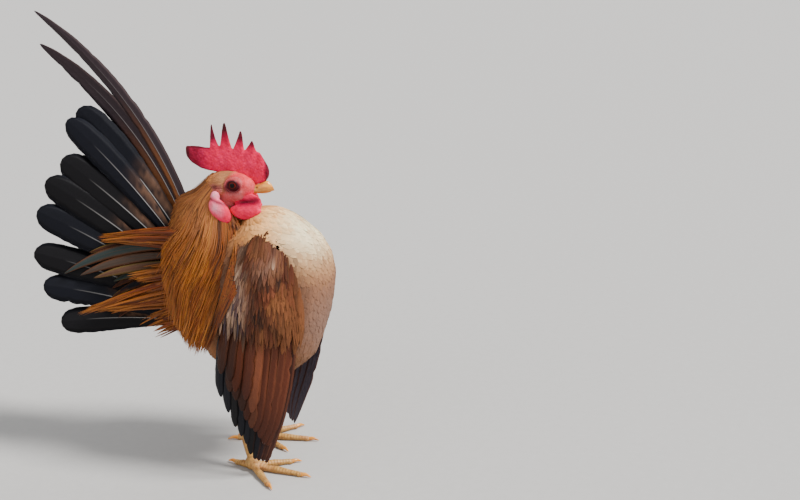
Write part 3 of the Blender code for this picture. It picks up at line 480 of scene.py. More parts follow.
def horn_material(name, deep, stretch, roughness=0.32):
    """Keratin of beak and claw: light goes a little way in, and it is layered along its growth and glossy."""
    made, n, shader = start_material(
        name, Roughness=roughness, Subsurface_Weight=0.2, Subsurface_Scale=0.0008, Coat_Weight=0.3,
        Coat_Roughness=0.2
    )
    tint = n("Attribute", attribute_name="Tint")
    drawn = n("Mapping", n("TexCoord", out=3), named={"Scale": stretch})
    noise = n("TexNoise", drawn, 1 / (1.6 * MM), 4.0)
    deeper = n("Mix", 1.0, tint, colour4(deep), data_type="RGBA", blend_type="MULTIPLY")
    colour = n("Mix", n("MapRange", noise, 0.4, 0.75, 0.0, 0.7), tint, deeper, data_type="RGBA")
    return paint(made, shader, colour, noise, 0.3, 0.2)


def scute_material():
    """Horny scutes of the leg: waxy yellow plates, dull and dark in the grooves, pebbled behind."""
    made, n, shader = start_material("leg_horny_scutes", Roughness=0.5, Subsurface_Weight=0.1,
                                     Subsurface_Scale=0.0008)
    tint = n("Attribute", attribute_name="Tint")
    pebbled = n("Attribute", attribute_name="pebbled", out=2)
    place = n("TexCoord", out=3)
    dirt = n("TexNoise", place, 1 / (2.2 * MM), 5.0)
    worn = n("Mix", 1.0, tint, colour4("#B98A4A"), data_type="RGBA", blend_type="MULTIPLY")
    colour = n("Mix", n("MapRange", dirt, 0.42, 0.75, 0.0, 0.8), tint, worn, data_type="RGBA")
    cells = n("TexVoronoi", place, 1 / (0.9 * MM), feature="DISTANCE_TO_EDGE")
    net = n("Math", n("MapRange", cells, 0.0, 0.12, 1.0, 0.0), pebbled, operation="MULTIPLY")
    colour = n("Mix", n("Math", net, 0.6, operation="MULTIPLY"), colour, colour4("#6E4A22"), data_type="RGBA")
    return paint(made, shader, colour, n("Math", dirt, net, operation="SUBTRACT"), 0.4, 0.25)


def eye_material():
    """A living eye: black pupil in a dark red iris with fine spokes, all under a wet clear front."""
    made, n, shader = start_material("eye_wet_cornea", Roughness=0.08, Specular_IOR_Level=0.14)
    away = n("Attribute", attribute_name="away", out=2)
    turn = n("Attribute", attribute_name="spoke", out=2)
    drawn = n("CombineXYZ", n("Math", turn, 9.0, operation="MULTIPLY"), away)
    noise = n("TexNoise", drawn, 1.0, 3.0)
    iris = n("Mix", n("MapRange", noise, 0.3, 0.7), colour4("#4A0A0A"), colour4("#80180E"), data_type="RGBA")
    iris = n("Mix", n("MapRange", away, 2.5, 3.1), iris, colour4("#2A0808"), data_type="RGBA")
    colour = n("Mix", n("MapRange", away, 1.3, 1.7), colour4("#0A0203"), iris, data_type="RGBA")
    made.node_tree.links.new(colour, shader.inputs["Base Color"])
    return made


def floor_material():
    """Studio paper, matt and pale, with the faint tooth of its pulp."""
    made, n, shader = start_material("studio_matt_paper", Roughness=0.9)
    noise = n("TexNoise", n("TexCoord", out=3), 1 / (6 * MM), 3.0)
    colour = n("Mix", noise, colour4("#B4B1AD"), colour4("#BCB9B5"), data_type="RGBA")
    return paint(made, shader, colour, noise, 0.05, 0.1)


# Shapes that are worked from a primitive


def clear_selection():
    if bpy.context.object and bpy.context.object.mode != "OBJECT":
        bpy.ops.object.mode_set(mode="OBJECT")
    bpy.ops.object.select_all(action="DESELECT")


def raw_points(obj):
    """A mesh's points as they are stored."""
    flat = np.zeros(len(obj.data.vertices) * 3, np.float32)
    obj.data.vertices.foreach_get("co", flat)
    return flat.reshape(-1, 3).astype(float)


def places_of(obj):
    """A mesh's points in millimetres."""
    return raw_points(obj) / MM - STEP


def move_points(obj, places):
    obj.data.vertices.foreach_set("co", ((places + STEP) * MM).astype(np.float32).ravel())
    obj.data.update()


def ball(centre, radii, segments=32, rings=20):
    """A ball added at its place and stretched to its three half sizes."""
    clear_selection()
    place = (np.array(centre) + STEP) * MM
    bpy.ops.mesh.primitive_uv_sphere_add(segments=segments, ring_count=rings, radius=MM, location=place)
    made = bpy.context.object
    made.scale = radii
    bpy.ops.object.transform_apply(location=True, rotation=True, scale=True)
    return made


def formed(shape, segments=48, rings=32):
    """A ball whose points are taken to shape(along, turn). Along runs from 0 to 1 between its poles."""
    clear_selection()
    bpy.ops.mesh.primitive_uv_sphere_add(segments=segments, ring_count=rings, radius=1.0)
    made = bpy.context.object
    x, y, z = raw_points(made).T
    along = np.round(np.arccos(np.clip(z, -1, 1)) / math.pi * rings) / rings
    move_points(made, shape(along, np.arctan2(y, x)))
    turn_out(made)
    return made


def turn_out(obj):
    """Turns all faces of a closed mesh outwards."""
    clear_selection()
    obj.select_set(True)
    bpy.context.view_layer.objects.active = obj
    bpy.ops.object.mode_set(mode="EDIT")
    bpy.ops.mesh.select_all(action="SELECT")
    bpy.ops.mesh.normals_make_consistent(inside=False)
    bpy.ops.object.mode_set(mode="OBJECT")


def join(parts):
    clear_selection()
    for part in parts:
        part.select_set(True)
    bpy.context.view_layer.objects.active = parts[0]
    bpy.ops.object.join()
    return bpy.context.object


def apply_modifier(obj, kind, **settings):
    clear_selection()
    obj.select_set(True)
    bpy.context.view_layer.objects.active = obj
    modifier = obj.modifiers.new(kind.title(), kind)
    for key, value in settings.items():
        setattr(modifier, key, value)
    bpy.ops.object.modifier_apply(modifier=modifier.name)


def fuse(obj, voxel, rounds):
    """Makes one closed surface of overlapping forms and smooths it."""
    apply_modifier(obj, "REMESH", mode="VOXEL", voxel_size=voxel)
    apply_modifier(obj, "SMOOTH", factor=0.5, iterations=rounds)


def waves(places, size_mm, seed=0.0):
    """Smooth bumps between -1 and 1 that wander over a few sizes."""
    p = places / size_mm
    a = np.sin(p[:, 0] * 2.1 + seed) * np.sin(p[:, 1] * 1.7 + p[:, 2] * 0.9 + seed * 2)
    b = np.sin(p[:, 2] * 2.6 - seed) * np.sin(p[:, 0] * 1.3 - p[:, 1] * 2.2 + seed)
    return (a + b) / 2


def face_edge(height):
    """How far forward the small feathers of the head reach at a height."""
    return np.interp(height, (150, 157, 161, 165, 168, 171, 175, 179, 182),
                     (-16, -17, -24, -26, -24, -20.5, -20.5, -19.5, -16.5))


def is_bare(places):
    """Where the head's skin shows: the face and the comb's foot."""
    x, y, z = places.T
    return (x > face_edge(z)) & (z > 160.5) & (x < 0.5) & (np.abs(y) < 12)


def plumage(places):
    """The coat's colour at places on the skin: cream breast, tan flanks, grey brown below and behind."""
    x, y, z = places.T
    cloud = waves(places, 17, 0.6)
    made = blend(PALETTE["flank"], PALETTE["breast"], smooth(z + 0.4 * x + 8 * cloud, 131, 172))
    # A painted highlight: a pale pool of light on the upper front of the breast.
    light = np.exp(-(((x - 34 + 0.5 * (z - 147)) / 15) ** 2 + ((z - 151) / 16) ** 2))
    made = blend(made, PALETTE["pale"], 0.8 * light)
    made = blend(made, PALETTE["rose"], smooth(x, 14, 42) * smooth(150 - z, 0, 64) * 0.85)
    # Painted shade on the breast beside the wing, mottled by the cloud.
    side = smooth(np.abs(y), 18, 32) * smooth(154 - z, 0, 18) * smooth(48 - x, 0, 14)
    made = blend(made, PALETTE["smoke"], side * (0.6 + 0.3 * cloud))
    made = blend(made, PALETTE["shade"], smooth(84 - z, 0, 26) * 0.6)
    made = blend(made, PALETTE["down"], smooth(-x, 20, 42) * smooth(128 - z, 0, 20) * 0.7)
    made = blend(made, PALETTE["buff"], smooth(waves(places, 6.5, 3.3), 0, 0.6) * smooth(z, 136, 154) * 0.45)
    made = blend(made, PALETTE["crown"], smooth(z, 158, 165) * smooth(-x, 8, 14))
    fleck = 0.08 * waves(places, 5.2, 2.0) + 0.07 * waves(places, 2.4, 5.0)
    return made * (1 + fleck)[:, None]


def scatter(places, gaps, chooser):
    """Keeps places, in random order, that lie at least their own gap from the places kept before them."""
    order = chooser.permutation(len(places))
    cell = float(np.max(gaps))
    kept, grid = [], {}
    for i in order:
        p, gap = places[i], gaps[i]
        key = tuple((p // cell).astype(int))
        near = (
            j
            for dx in (-1, 0, 1) for dy in (-1, 0, 1) for dz in (-1, 0, 1)
            for j in grid.get((key[0] + dx, key[1] + dy, key[2] + dz), ())
        )
        if all((places[j] - p) @ (places[j] - p) >= gap * gap for j in near):
            grid.setdefault(key, []).append(i)
            kept.append(i)
    return np.array(kept)


def skin_samples(count, chooser):
    """Random places on the skin, with their normals."""
    obj = MADE["skin"]
    mesh = obj.data
    mesh.calc_loop_triangles()
    corners = np.zeros(len(mesh.loop_triangles) * 3, np.int32)
    mesh.loop_triangles.foreach_get("vertices", corners)
    triangles = places_of(obj)[corners.reshape(-1, 3)]
    normal = np.cross(triangles[:, 1] - triangles[:, 0], triangles[:, 2] - triangles[:, 0])
    area = np.linalg.norm(normal, axis=1)
    pick = chooser.choice(len(area), count, p=area / area.sum())
    u, v = chooser.random(count), chooser.random(count)
    over = u + v > 1
    u[over], v[over] = 1 - u[over], 1 - v[over]
    corner = triangles[pick]
    first, second, third = corner[:, 0], corner[:, 1], corner[:, 2]
    places = first + (second - first) * u[:, None] + (third - first) * v[:, None]
    return places, unit(normal[pick])


def lie_on_skin(roots, ways, lengths, stops, lifts):
    """Spines that follow the skin from their roots, lifted off it by the given heights, and outward ways."""
    tree = MADE["skin_tree"]
    spines = np.zeros((len(roots), len(stops), 3))
    outs = np.zeros_like(spines)
    for i, (p, way, length) in enumerate(zip(roots, ways, lengths)):
        p, d = Vector(p), Vector(way)
        before = 0
        for k, t in enumerate(stops):
            place, normal, _, _ = tree.find_nearest(p + d * (length * (t - before)))
            d = (d - normal * d.dot(normal)).normalized()
            spines[i, k] = place
            outs[i, k] = normal
            p, before = place, t
    outs = unit(outs + 0.6 * np.roll(outs, 1, axis=1) + 0.6 * outs[:, :1])
    return spines + outs * lifts, outs


def tint_of(base, tip=None, tip_from=0.6, edge=None, edge_from=0.5, root=None, root_to=0.3, under=None):
    """A feather's colours, as a function of the places along and across it. Each is one row for a feather."""

    def colours(along, across, beneath):
        made = np.broadcast_to(base[:, None, None], along.shape + (3,))
        if root is not None:
            made = blend(root[:, None, None], made, smooth(along, 0.0, root_to))
        if edge is not None:
            made = blend(made, edge[:, None, None], smooth(np.abs(across), edge_from, 1.0))
        if tip is not None:
            made = blend(made, tip[:, None, None], smooth(along, tip_from, 1.0))
        if under is not None:
            made = blend(made, under[:, None, None], beneath.astype(float))
        return made

    return colours


def tones(names, count, chooser, spread=0.12):
    """One colour for each of many feathers: a random mix of named colours, each made lighter or darker."""
    choices = np.array([PALETTE[name] for name in names])
    made = choices[chooser.integers(0, len(names), count)]
    return made * (1 + spread * chooser.uniform(-1, 1, (count, 1)))


def tree_of(*objects):
    """A search tree over the meshes of several pieces, in millimetres."""
    points, faces = [], []
    for obj in objects:
        step = sum(len(part) for part in points)
        points.append(places_of(obj))
        faces += [tuple(i + step for i in polygon.vertices) for polygon in obj.data.polygons]
    return BVHTree.FromPolygons(np.concatenate(points).tolist(), faces)


def clear_sideways(spines, signs, tree, lift, half_width):
    """Moves spines outwards to either side until they lie over what the tree holds, then smooths the step."""
    wide = np.zeros(spines.shape[:2])
    for i, (spine, sign) in enumerate(zip(spines, signs)):
        for k, (x, y, z) in enumerate(spine):
            wide[i, k] = y * sign
            for dx in (-half_width, 0, half_width):
                hit = tree.ray_cast(Vector((x + dx, 90 * sign, z)), Vector((0, -sign, 0)), 90)[0]
                if hit is not None and k:
                    wide[i, k] = max(wide[i, k], hit.y * sign + lift)
    for _ in range(3):
        middle = (wide[:, :-2] + wide[:, 2:]) / 2
        wide[:, 1:-1] = np.maximum(wide[:, 1:-1], middle)
    spines = spines.copy()
    spines[..., 1] = wide * np.asarray(signs)[:, None]
    return spines


def on_arc(root, heading, bend, length, t):
    """Places a share t along arcs that start at root and bend back and down. Rows are arcs."""
    half = np.radians(bend)[:, None] * t / 2
    chord = length[:, None] * t * np.sinc(half / math.pi)
    c, s = np.cos(half), np.sin(half)
    x, y, z = (heading[:, None, axis] for axis in range(3))
    ahead = np.stack([x * c - z * s, np.broadcast_to(y, c.shape), z * c + x * s], axis=-1)
    return root[:, None] + ahead * chord[..., None]


def wing_spot(side, height, share, out=0.0):
    """Places on the wing's curved sheet; share is -1 at its back edge and 1 at its front edge."""
    back, front, away = read(WING, height)
    camber = np.where(share > 0, WING_CAMBER_FRONT, WING_CAMBER_BACK)
    x = mix(back, front, (share + 1) / 2) - WING_BACK[side]
    y = (away - camber * share**2 + out) * SIDES[side]
    return np.stack(np.broadcast_arrays(x, y, height), axis=-1)


def on_sheet(side, x, height, out=0.0):
    """Places on the wing's sheet, or at its nearer edge, from their own x."""
    back, front, _ = read(WING, height)
    share = np.clip(2 * (x + WING_BACK[side] - back) / (front - back) - 1, -1, 1)
    return wing_spot(side, height, share, out)


def wing_facing(side, height, share):
    """Which way the wing's sheet looks there, turned a little so that each feather's rear edge stands out."""
    back, front, _ = read(WING, height)
    camber = np.where(share > 0, WING_CAMBER_FRONT, WING_CAMBER_BACK)
    slope = 2 * camber * share / ((front - back) / 2)
    return np.stack(np.broadcast_arrays(slope - WING_LOUVRE, SIDES[side], 0.12), axis=-1)


def build_skin(sizes):
    """One skin over body, neck, head, thighs, shoulders, rump and wing plates, with the face's folds."""
    depth = sizes.skin_depth / MM

    def body(along, turn):
        t = (1 - np.cos(math.pi * along)) / 2
        height = mix(163.6, 50.0, t)
        rows = np.vstack([TORSO, (163.6, 4, 4, 0), (50, -2, -2, 0)])
        rows = rows[np.argsort(rows[:, 0])]
        place = oval(rows, height, turn)
        centre = (TORSO[5, 1] + TORSO[5, 2]) / 2
        middle = np.stack([centre + 0 * turn, 0 * turn, np.clip(height, 75, 135)], axis=-1)
        return place - unit(place - middle) * depth

    def neck(along, turn):
        height = mix(178.0, 118.0, along)
        place = oval(NECK, height, turn)
        middle = np.stack([sum(read(NECK, height)[:2]) / 2, 0 * turn, height], axis=-1)
        return middle + (place - middle) * 0.92 * smooth(np.sin(math.pi * along), 0, 0.08)[..., None]

    def head(along, turn):
        x = mix(-38.0, -2.2, (1 - np.cos(math.pi * along)) / 2)
        rows = np.vstack([(-38, 170, 0, 0), HEAD, (-2.2, 172.3, 0, 0)])
        middle, tall, wide = read(rows, x)
        crown = np.where(np.cos(turn) > 0, 1 - 0.04 * smooth(-x, 14, 24), 1)
        return np.stack([x, wide * np.sin(turn), middle + tall * np.cos(turn) * crown], axis=-1)

    parts = [formed(body, 96, 80), formed(neck, 48, 40), formed(head, 48, 40)]
    for side, sign in SIDES.items():
        top, hock = (np.array(table[side]) * (1, sign, 1) for table in (THIGH_TOP, HOCK))
        stops = ((0, 8), (0.2, 10.5), (0.45, 8.2), (0.7, 5.6), (0.9, 3.6), (1, 3.2))
        parts.append(tube([mix(top, hock, t) for t, _ in stops], [r for _, r in stops], 24))
        parts.append(ball((10 - WING_BACK[side], 23.5 * sign, 140), (9, 7, 9)))
        parts.append(ball((-41, 18 * sign, 112), (7, 7, 14)))

        def plate(along, turn, side=side):
            height = mix(140.0, 97.0, along)
            share = -np.cos(turn) * 0.8
            thick = 1.1 * np.sin(turn) * SIDES[side] * -1
            return wing_spot(side, height, share, -1.6 + thick * smooth(np.sin(math.pi * along), 0, 0.1))

        parts.append(formed(plate, 40, 30))
    parts.append(ball((-46, 0, 112), (13, 9, 14)))
    skin = join(parts)
    fuse(skin, sizes.skin_voxel, 5)
    places = places_of(skin)
    normals = np.zeros(len(places) * 3, np.float32)
    skin.data.vertices.foreach_get("normal", normals)
    normals = normals.reshape(-1, 3)
    bare = is_bare(places)
    from_eye = np.linalg.norm(places[:, [0, 2]] - EYE[[0, 2]], axis=1)
    rings = np.cos((from_eye - 4.5) * 2.6) * np.exp(-((from_eye - 6.0) / 2.6) ** 2) * 0.22
    folds = waves(places, 2.2) * 0.22 + waves(places, 0.9, 1.0) * 0.1 + rings
    places = places + normals * (folds * bare)[:, None]
    move_points(skin, places)
    # Under the coat the skin takes the plumage's colour, darkened as painted shade in the gaps between
    # feathers.
    give(skin, "Tint", np.where(bare[:, None], face_tint(places), plumage(places) * 0.85))
    finish(skin, "skin", MATERIALS["skin"], ("torso", "neck", "head", "thigh_right", "thigh_left"))
    MADE["skin"] = skin
    MADE["skin_tree"] = tree_of(skin)


def face_tint(places):
    """The bare head's colours: salmon over the eye, brown on the cheek, red at the mouth."""
    x, _, z = places.T
    made = blend(PALETTE["face"], PALETTE["face_pale"], smooth(z + 0.35 * waves(places, 3), 173.5, 178))
    made = blend(made, PALETTE["cheek"], smooth(174 - z, 0, 3) * smooth(-x - 6, 0, 4) * 0.85)
    made = blend(made, PALETTE["wattle"], smooth(x, -9.5, -5) * smooth(172.5 - z, 0, 3))
    made = blend(made, PALETTE["crown"], smooth(face_edge(z) + 4 - x, 0, 4) * 0.8)
    # A maroon ring round the eye: painted shade of the socket.
    from_eye = np.hypot((x + 14.8) / 1.1, z - 175)
    made = blend(made, PALETTE["maroon"] * 0.7, np.exp(-(((from_eye - 3.4) / 2.1) ** 2)) * 0.8)
    ear = spot(places, -25.5, 173, 3.6, 1.8)
    return blend(made, PALETTE["maroon"], np.clip(ear + smooth(164 - z, 0, 4) * 0.6, 0, 1))


def coat_length(places):
    """How long the small feathers are: 3 mm on the head, 6 on the neck and 10 to 12 on the body."""
    from_head = np.linalg.norm(places - np.array((-17, 0, 172)), axis=1)
    long = np.interp(from_head, (8, 14, 22, 34), (3.0, 3.8, 6.5, 10))
    return long + 2 * smooth(100 - places[:, 2], 0, 30)


def coat_way(places, normals):
    """Which way the coat lies: away from the neck on top, down the sides, and back under the belly."""
    x, y, z = places.T
    away = unit(np.stack([x + 15, y * 0.5, 0 * x], axis=-1)) + np.array((0.3, 0, -0.2))
    down = np.array((-0.35, 0, -1.0))
    under = np.array((-0.9, 0, -0.35))
    way = blend(down, away, smooth(normals[:, 2], 0.1, 0.8) * smooth(x, -15, 5))
    way = blend(way, under, smooth(-normals[:, 2], 0.2, 0.9))
    head = smooth(z, 160, 168)
    back = np.stack([0 * x - 1, np.sign(y) * 0.1, 0 * x - 0.25 - 0.8 * smooth(-x, 22, 34)], axis=-1)
    way = blend(way, back, head)
    rump = smooth(-x, 36, 46) * smooth(135 - z, 0, 10) * smooth(z, 88, 100)
    way = blend(way, np.array((-1.0, 0, 0.1)), rump)
    return unit(way - normals * np.sum(way * normals, axis=1)[:, None])


def build_coat(sizes):
    """The small feathers of head, throat, breast, belly and thighs."""
    chooser = np.random.default_rng(11)
    places, normals = skin_samples(sizes.coat_tries, chooser)
    x, y, z = places.T
    wing_back, wing_front, wing_out = read(WING, z)
    hidden = (x > wing_back + 4) & (x < wing_front - 9) & (np.abs(y) > 20) & (z < 138) & (z > 66)
    shank = (z < 47) | ((z < 50) & (np.abs(y) > 18))
    keep = ~is_bare(places) & ~hidden & ~shank & (np.abs(y) < wing_out - 0.8 + 99 * (z < 90))
    places, normals = places[keep], normals[keep]
    length = coat_length(places)
    kept = scatter(places, length * sizes.coat_gap, chooser)
    places, normals, length = places[kept], normals[kept], length[kept]
    n = len(places)
    length = length * chooser.uniform(0.9, 1.2, n)
    beside = smooth(np.abs(places[:, 1]), 20, 28) * smooth(places[:, 0], 24, 34)
    beside = beside * smooth(130 - places[:, 2], 0, 12)
    length = length * (1 + 0.9 * beside)
    way = coat_way(places, normals)
    swing = 0.2 * waves(places, 7)[:, None] + chooser.normal(0, 0.09, (n, 1))
    way = unit(way + np.cross(normals, way) * swing)
    stops = np.array((0, 0.3, 0.62, 0.86, 0.96, 1))
    lift = np.array((-0.2, 0.22, 0.45, 0.62, 0.7, 0.72)) * (length / 10)[:, None]
    lift = lift * chooser.uniform(0.88, 1.15, (n, 1))
    loose = smooth(90 - places[:, 2], 0, 20)[:, None]
    lift = lift * (1 + 1.6 * loose)
    spines, outs = lie_on_skin(places, way, length, stops, lift[..., None])
    slim = mix(0.2, 0.13, np.maximum(loose[:, 0], beside))
    shape = np.array((0.4, 0.88, 1, 0.7, 0.32)) * (length * slim)[:, None]
    left, right = (shape * chooser.uniform(0.85, 1.1, (n, 5)) for _ in range(2))
    fleck = mix(0.06, 0.16, smooth(places[:, 2], 156, 164))[:, None]
    base = plumage(spines[:, 3] + chooser.normal(0, 1.2, places.shape))
    base = base * (1 + fleck * chooser.uniform(-1, 1, (n, 1)))
    nape = tones(("gold", "buff", "russet"), n, chooser)
    crown = blend(PALETTE["crown"], nape, smooth(-places[:, 0], 20, 36) * 0.8)
    crown = crown * (1 + fleck * chooser.uniform(-1, 1, (n, 1)))
    base = blend(base, crown, smooth(places[:, 2], 158, 165) * smooth(-places[:, 0], 8, 14))
    cheek = smooth(places[:, 0], -34, -25) * smooth(177 - places[:, 2], 0, 4) * smooth(places[:, 2], 160, 166)
    base = blend(base, PALETTE["cheek"], cheek * 0.6)
    ear = spot(spines[:, 3], -26, 173.4, 3.4, 1.7) * (np.abs(places[:, 1]) > 4)
    base = blend(base, PALETTE["maroon"], ear * 0.85)
    tips = np.minimum(base * 1.08, 1)
    uv = skin_uv(places, "body")
    body = places[:, 2] < 152
    groups = {"coat_head": ~body, "coat_right": body & (places[:, 1] < 0),
              "coat_left": body & (places[:, 1] >= 0)}
    for name, part in groups.items():
        tint = tint_of(base[part], tips[part], 0.7, base[part] * 0.97, 0.65, base[part] * 0.95, 0.45)
        soft = 0.6 if name == "coat_head" else 0.88
        made = feathers(name, LOCK_SECTION, spines[part], outs[part, :-1], left[part], right[part],
                        0.08, tint, uv[part], camber=0.06, guide=outs[part, :-1], guide_share=soft)
        finish(made, name, MATERIALS["down"])


def build_hackle(sizes):
    """The hackle: hair-thin pointed locks in tiers that hang over one another down to the shoulders."""
    chooser = np.random.default_rng(23)
    rows = []
    for root in np.linspace(179, 122, 22):
        tip = np.interp(root, (143, 150, 158, 166, 172, 178), (84, 101, 121, 143, 153, 161))
        rise = np.interp(root, (143, 150, 158, 166, 178), (20, 18, 13, 6, 3))
        last = np.interp(root, (130, 143, 150, 160, 163, 178), (134, 140, 146, 152, 104, 84))
        around = np.interp(tip, (84, 101, 121, 143, 160), (42, 43, 40, 30, 15))
        count = int(2 * math.radians(last) * around / (sizes.hackle_gap / MM))
        turns = np.linspace(-last, last, count) + chooser.normal(0, 1.2, count)
        side = np.abs(turns)
        end = tip + rise * np.maximum(np.cos(np.radians(turns)), 0)
        end = end + np.interp(side, (112, 130, 142, 152), (0, 8, 24, 46))
        end = np.minimum(end, root - 9)
        rows.append(np.stack([np.radians(turns), np.full(count, root), end], axis=-1))
    turns, start, end = np.concatenate(rows).T
    n = len(turns)
    tuft = np.stack([turns * 24, start * 0.55, 0 * turns], axis=-1)
    end = end + waves(tuft, 2.6) * 6 + chooser.uniform(-5, 5, n)
    start = start + chooser.uniform(-2, 2, n)
    stops = LOCK_STOPS
    height = mix(start[:, None], end[:, None], stops)
    gather = np.round(turns / 0.1 + waves(tuft, 3.3, 1.0)) * 0.1
    sway = (gather - turns) * 0.75 + waves(tuft, 5.0, 2.0) * 0.1 + chooser.normal(0, 0.03, n)
    turn = turns[:, None] + sway[:, None] * stops**2
    core, cape = oval(NECK, height, turn), oval(CAPE, height, turn)
    spines = blend(core, cape, np.broadcast_to(stops**0.8, height.shape))
    out = np.stack([-np.cos(turn), np.sin(turn), 0.25 + 0 * turn], axis=-1)
    spines[:, 0] -= out[:, 0] * 1.2
    loose = np.interp(start, (150, 164), (1, 0.45)) * chooser.uniform(0.0, 1.1, n)
    stray = (chooser.random(n) < 0.07) * chooser.uniform(1, 4, n) * (start < 156)
    loose = loose + stray + waves(tuft, 3.3, 4.0) * 0.7
    spines += out * (stops * loose[:, None])[..., None]
    signs = np.where(np.sin(turns) < 0, -1, 1)
    spines = clear_sideways(spines, signs, MADE["cover_tree"], 0.5, 1.0)
    beside = np.stack([0 * turn, np.broadcast_to(signs[:, None], turn.shape), 0 * turn], axis=-1)
    outs = blend(out, beside, smooth(np.abs(spines[..., 1]), 30, 42))[:, :-1]
    wide = np.interp(start, (140, 160, 178), (0.58, 0.46, 0.36)) * chooser.uniform(0.6, 1.3, n)
    shape = LOCK_WIDTHS * wide[:, None]
    low = smooth(150 - end, 0, 62)
    patch = smooth(waves(tuft, 4.2, 3.0), -0.2, 0.3)
    front = smooth(np.abs(turns), 1.75, 2.3)
    deep = np.clip(0.1 + low * 0.45 + (patch - 0.5) * 0.7 + front * 0.35, 0, 1)
    bright = tones(("gold", "buff", "gold"), n, chooser)
    base = blend(bright, tones(("russet", "ember", "umber"), n, chooser, 0.2), deep)
    base = blend(base, PALETTE["crown"], smooth(start, 158, 172) * 0.45)
    base = blend(base, PALETTE["umber"], (chooser.random(n) < 0.1 + 0.25 * low * patch) * 0.75)
    tips = blend(base, tones(("gold", "buff", "ember"), n, chooser), 0.6 * low * (1 - front))
    tips = blend(tips, tones(("russet", "umber"), n, chooser), 0.85 * front)
    uv = skin_uv(spines[:, 0], "body")
    for side, sign in SIDES.items():
        part = signs == sign
        tint = tint_of(base[part], tips[part], 0.35, np.minimum(base[part] * 1.15, 1), 0.5,
                       base[part] * 0.85, 0.4)
        made = feathers(f"hackle_{side}", LOCK_SECTION, spines[part], outs[part], shape[part], shape[part],
                        0.14, tint, uv[part], camber=0.1, guide=outs[part], guide_share=0.6)
        finish(made, f"hackle_{side}", MATERIALS["hackle"])


def build_saddle(sizes):
    """Hackle of the saddle: loose pointed locks in wisps that blow back past the foot of the tail."""
    chooser = np.random.default_rng(31)
    stops = LOCK_STOPS[:, None]
    for side, sign in SIDES.items():
        roots, tips = [], []
        for share, levels, low, high, aside in SADDLE_WISPS:
            n = int(share * sizes.saddle_locks)
            t, reach = chooser.random((n, 1)), chooser.uniform(0.25, 1.04, (n, 1))
            ahead, out = chooser.uniform(-45, -34, (n, 1)), chooser.uniform(10, 22, (n, 1))
            root = np.hstack([ahead, out, mix(*levels, t)])
            tip = mix(np.array((low[0], 0, low[1])), np.array((high[0], 0, high[1])), t)
            drift, rise = chooser.normal(0, 2.0, (n, 1)), chooser.normal(0, 1.2, (n, 1))
            tip = tip + np.hstack([0 * t, aside + drift, rise])
            roots.append(root)
            tips.append(mix(root, tip, reach))
        root, tip = np.concatenate(roots), np.concatenate(tips)
        n = len(root)
        root[:, 1] *= sign
        tip[:, 1] *= sign
        away = np.linalg.norm(tip - root, axis=1)
        sag = away * (0.05 + 0.05 * waves(root, 5))
        bow = np.stack([0 * away, chooser.normal(2, 1, n) * sign, sag], axis=-1)
        middle = (root + tip) / 2 + bow
        a, b, c = root[:, None], middle[:, None], tip[:, None]
        spines = a * (1 - stops) ** 2 + 2 * b * stops * (1 - stops) + c * stops**2
        spines = clear_sideways(spines, [sign] * n, MADE[f"fan_{side}"], 0.7, 1.2)
        outs = np.zeros((n, len(stops) - 1, 3)) + np.array((-0.1, sign, 0.25))
        shape = LOCK_WIDTHS * chooser.uniform(0.45, 0.95, (n, 1))
        patch = smooth(waves(root * (0, 1, 1), 5), -0.3, 0.3)
        base = blend(tones(("ember", "gold", "russet"), n, chooser, 0.2), PALETTE["umber"], 0.2 + 0.5 * patch)
        tips = blend(base, PALETTE["buff"], chooser.uniform(0.1, 0.7, n))
        tint = tint_of(base, tips, 0.55, np.minimum(base * 1.2, 1), 0.5)
        uv = skin_uv(root, "body")
        made = feathers(f"saddle_{side}_locks", LOCK_SECTION, spines, outs, shape, shape, 0.14, tint, uv,
                        camber=0.1, guide=outs, guide_share=0.4)
        finish(made, f"saddle_{side}_locks", MATERIALS["hackle"], (f"saddle_{side}",))


def nicked(shape, chooser, share=0.16, deep=0.35):
    """A vane's half widths with a few places where its barbs have parted."""
    nicks = chooser.random(shape.shape) < share
    shape = shape * (1 - nicks * chooser.uniform(0.08, deep, shape.shape))
    return shape * chooser.uniform(0.97, 1.02, shape.shape)


def widths_at(stops, table):
    """Half widths at stops, rounded between a table's own stops."""
    table = np.array(table)
    return np.interp(stops, np.append(table[:, 0], 1), np.append(table[:, 1], 0))


